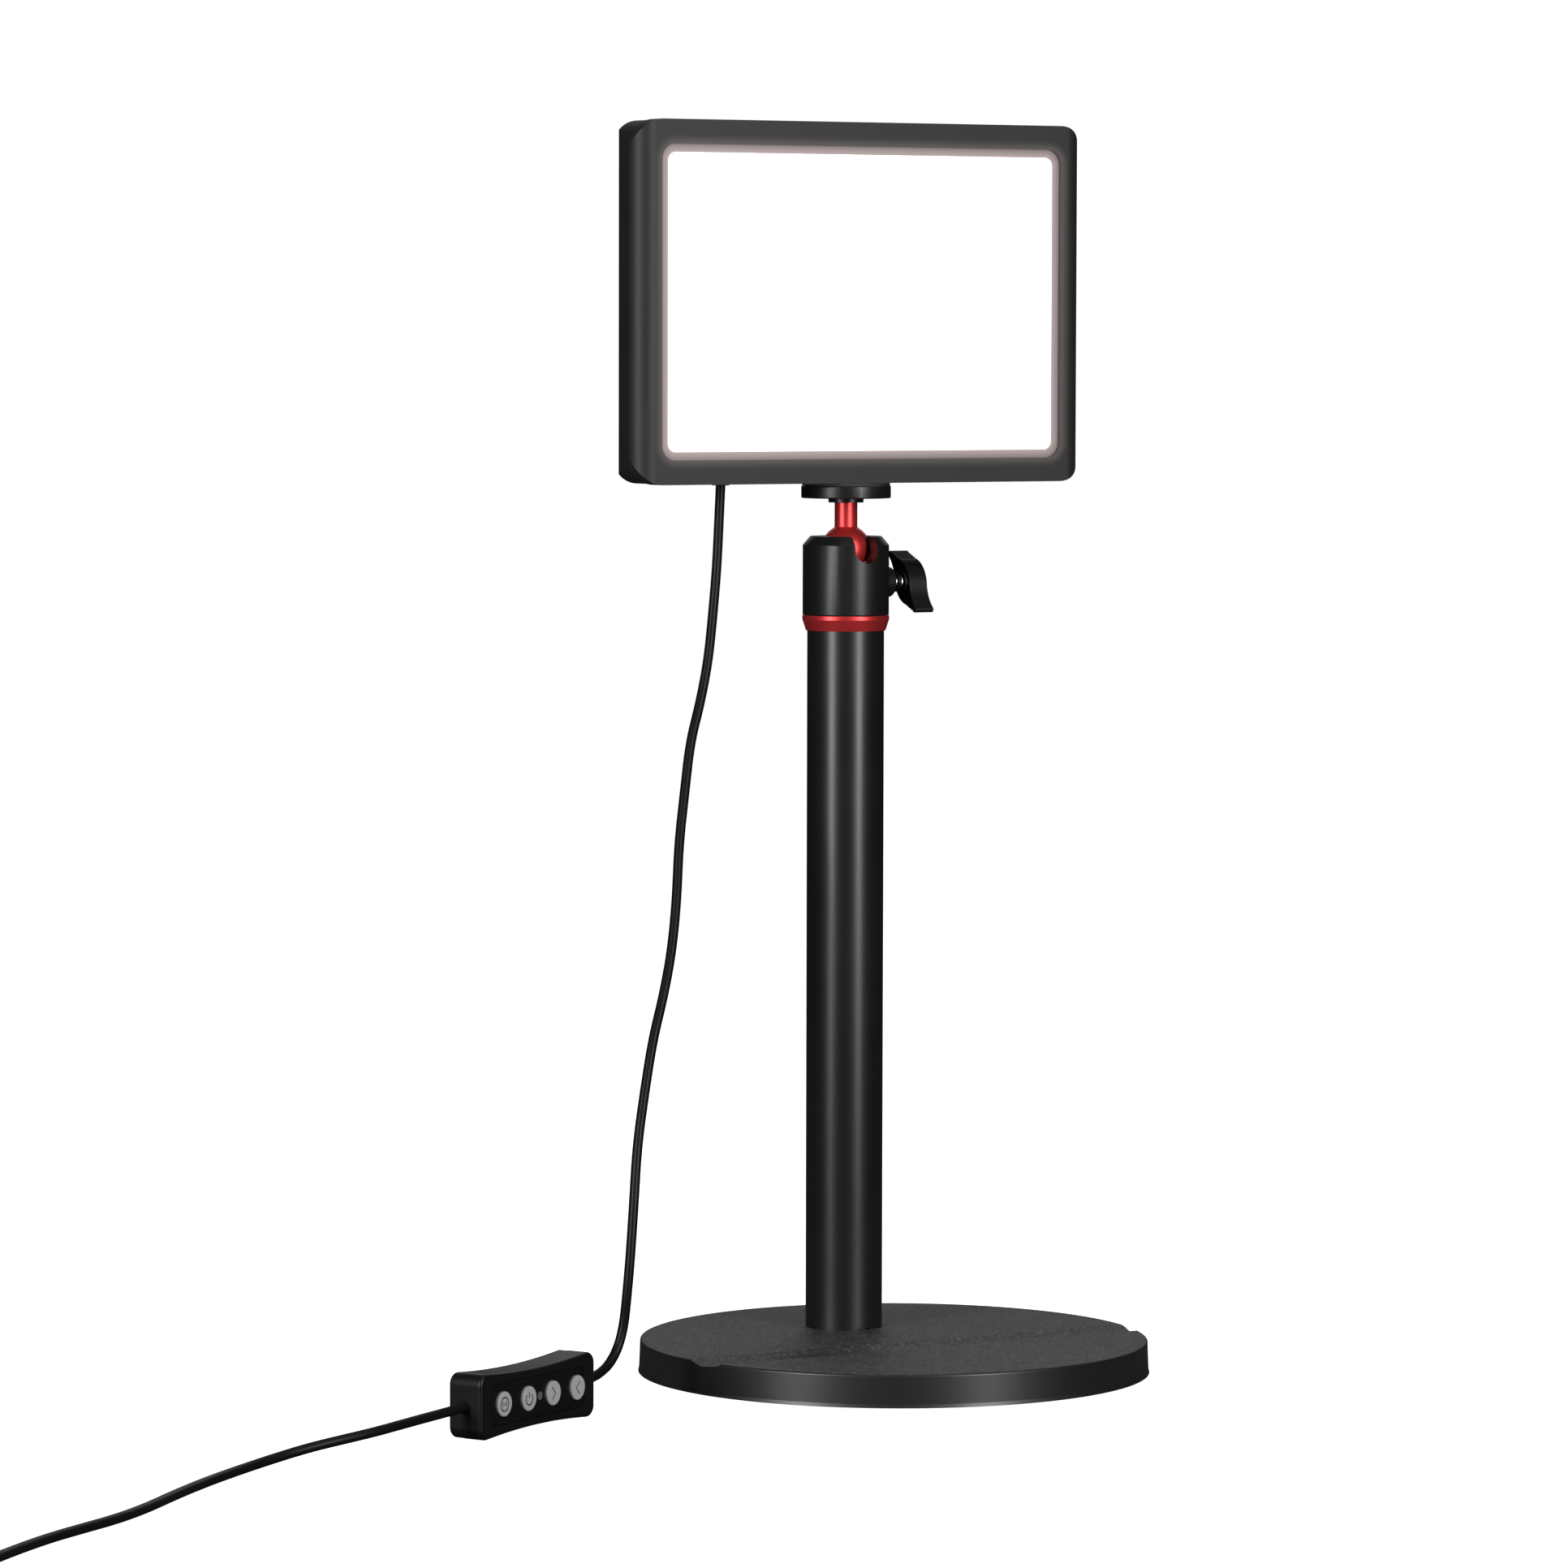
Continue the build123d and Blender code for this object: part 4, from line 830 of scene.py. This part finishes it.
class PANELLIGHT_OT_head(Operator):
    """The ball head: housing, red ball and stem, clamp knob and platform"""

    bl_idname = "panel_light.head"
    bl_label = "Ball head"

    def execute(self, context):
        settings = context.scene.panel_light_finish
        red = turned("Red anodise", settings.accent_colour, 0.36, 0.75)
        black = turned("Black anodise", (0.006, 0.006, 0.006), 0.36, 0.0, level=0.3)
        knob = moulded("Knob nylon", (0.006, 0.006, 0.006), 0.38, level=0.2)
        dress(red, "red_collar", "ball_stem")
        softened("head_housing", "housing", 0.0003, black)
        softened("platform_disc", "platform", 0.0002, black)
        softened("wing_knob", "clamp_knob", 0.0004, knob)
        dress(turned("Clamp screw steel", (0.62, 0.62, 0.63), 0.2, 1.0, pitch=0.0008, depth=0.00008, axis=0),
              "clamp_screw")
        dress(knob, "knob_washer")
        dress(moulded("Platform rubber", (0.01, 0.01, 0.01), 0.7, grain=0.0006, depth=0.00004), "platform_pad")
        dress(moulded("Nylon cup", (0.75, 0.75, 0.72), 0.45), "ball_cup")
        dress(turned("Brass", (0.72, 0.5, 0.22), 0.3, 1.0), "clamp_pad", "tripod_bush")
        return {"FINISHED"}


class PANELLIGHT_OT_lamp(Operator):
    """The lamp panel: bezel, lit window, ribbed back and what is inside"""

    bl_idname = "panel_light.lamp"
    bl_label = "Lamp panel"

    def execute(self, context):
        settings = context.scene.panel_light_finish
        dress(bezel_finish("Bezel", settings.shell_colour), "front_bezel")
        dress(moulded("Rear shell", shade(settings.shell_colour, 0.85), 0.5,
                      grain=0.0005, depth=0.00003, level=0.25),
              "rear_cover")
        dress(lamp_finish("Opal window", settings.lamp_colour, settings.lamp_strength), "diffuser")
        dress(moulded("White reflector", (0.85, 0.85, 0.84), 0.4), "reflector_frame")
        dress(board_finish("Lamp board", (0.8, 0.8, 0.78)), "led_board")
        dress(moulded("Phosphor", (0.85, 0.7, 0.25), 0.3), "led_emitters")
        dress(turned("Bare sheet", (0.75, 0.75, 0.76), 0.35, 1.0, pitch=0.0006, axis=0), "heat_spreader")
        dress(board_finish("Driver board", (0.02, 0.13, 0.05)), "driver_board", "controller_board")
        dress(moulded("Chip epoxy", (0.015, 0.015, 0.015), 0.45), "driver_chips", "tact_switches")
        return {"FINISHED"}


class PANELLIGHT_OT_controller(Operator):
    """The in-line controller with its signs"""

    bl_idname = "panel_light.controller"
    bl_label = "Controller"

    def execute(self, context):
        settings = context.scene.panel_light_finish
        shell = moulded("Controller shell", (0.005, 0.005, 0.005), 0.36, grain=0.0004, level=0.22)
        dress(shell, "controller_front_shell", "controller_back_shell")
        plate = moulded("Face plate", (0.004, 0.004, 0.004), 0.3, depth=0.000006, level=0.22)
        dress(plate, "controller_face_plate")
        dress(moulded("Button caps", settings.button_colour, 0.42, grain=0.0003, tone=0.06), *SIGNS)
        dress(moulded("Light pipe", (0.10, 0.10, 0.11), 0.2), "indicator_lens")
        ink = moulded("Ink", (0.02, 0.02, 0.022), 0.5)
        for button, strokes in SIGNS.items():
            printed_sign(button, strokes, ink)
        return {"FINISHED"}


class PANELLIGHT_PT_sidebar(Panel):
    bl_label = "Panel Light"
    bl_space_type = "VIEW_3D"
    bl_region_type = "UI"
    bl_category = "Panel Light"

    def draw(self, context):
        for group in GROUPS:
            settings = getattr(context.scene, group)
            for name in settings.__annotations__:
                self.layout.prop(settings, name)
        for operator in OPERATORS:
            self.layout.operator(operator.bl_idname)


GROUPS = {
    "panel_light_finish": FinishSettings,
    "panel_light_cord": CordSettings,
    "panel_light_stage": StageSettings,
}
OPERATORS = (
    PANELLIGHT_OT_stage, PANELLIGHT_OT_cords, PANELLIGHT_OT_base, PANELLIGHT_OT_pole, PANELLIGHT_OT_head,
    PANELLIGHT_OT_lamp, PANELLIGHT_OT_controller,
)


def register():
    for item in (*GROUPS.values(), *OPERATORS, PANELLIGHT_PT_sidebar):
        bpy.utils.register_class(item)
    for name, group in GROUPS.items():
        setattr(bpy.types.Scene, name, PointerProperty(type=group))


def unregister():
    for name in GROUPS:
        delattr(bpy.types.Scene, name)
    for item in (PANELLIGHT_PT_sidebar, *reversed(OPERATORS), *reversed(GROUPS.values())):
        bpy.utils.unregister_class(item)


def main():
    register()
    bpy.ops.panel_light.stage()
    bpy.ops.panel_light.cords()
    bpy.ops.panel_light.base()
    bpy.ops.panel_light.pole()
    bpy.ops.panel_light.head()
    bpy.ops.panel_light.lamp()
    bpy.ops.panel_light.controller()
    bpy.context.view_layer.update()


if __name__ == "__main__":
    main()
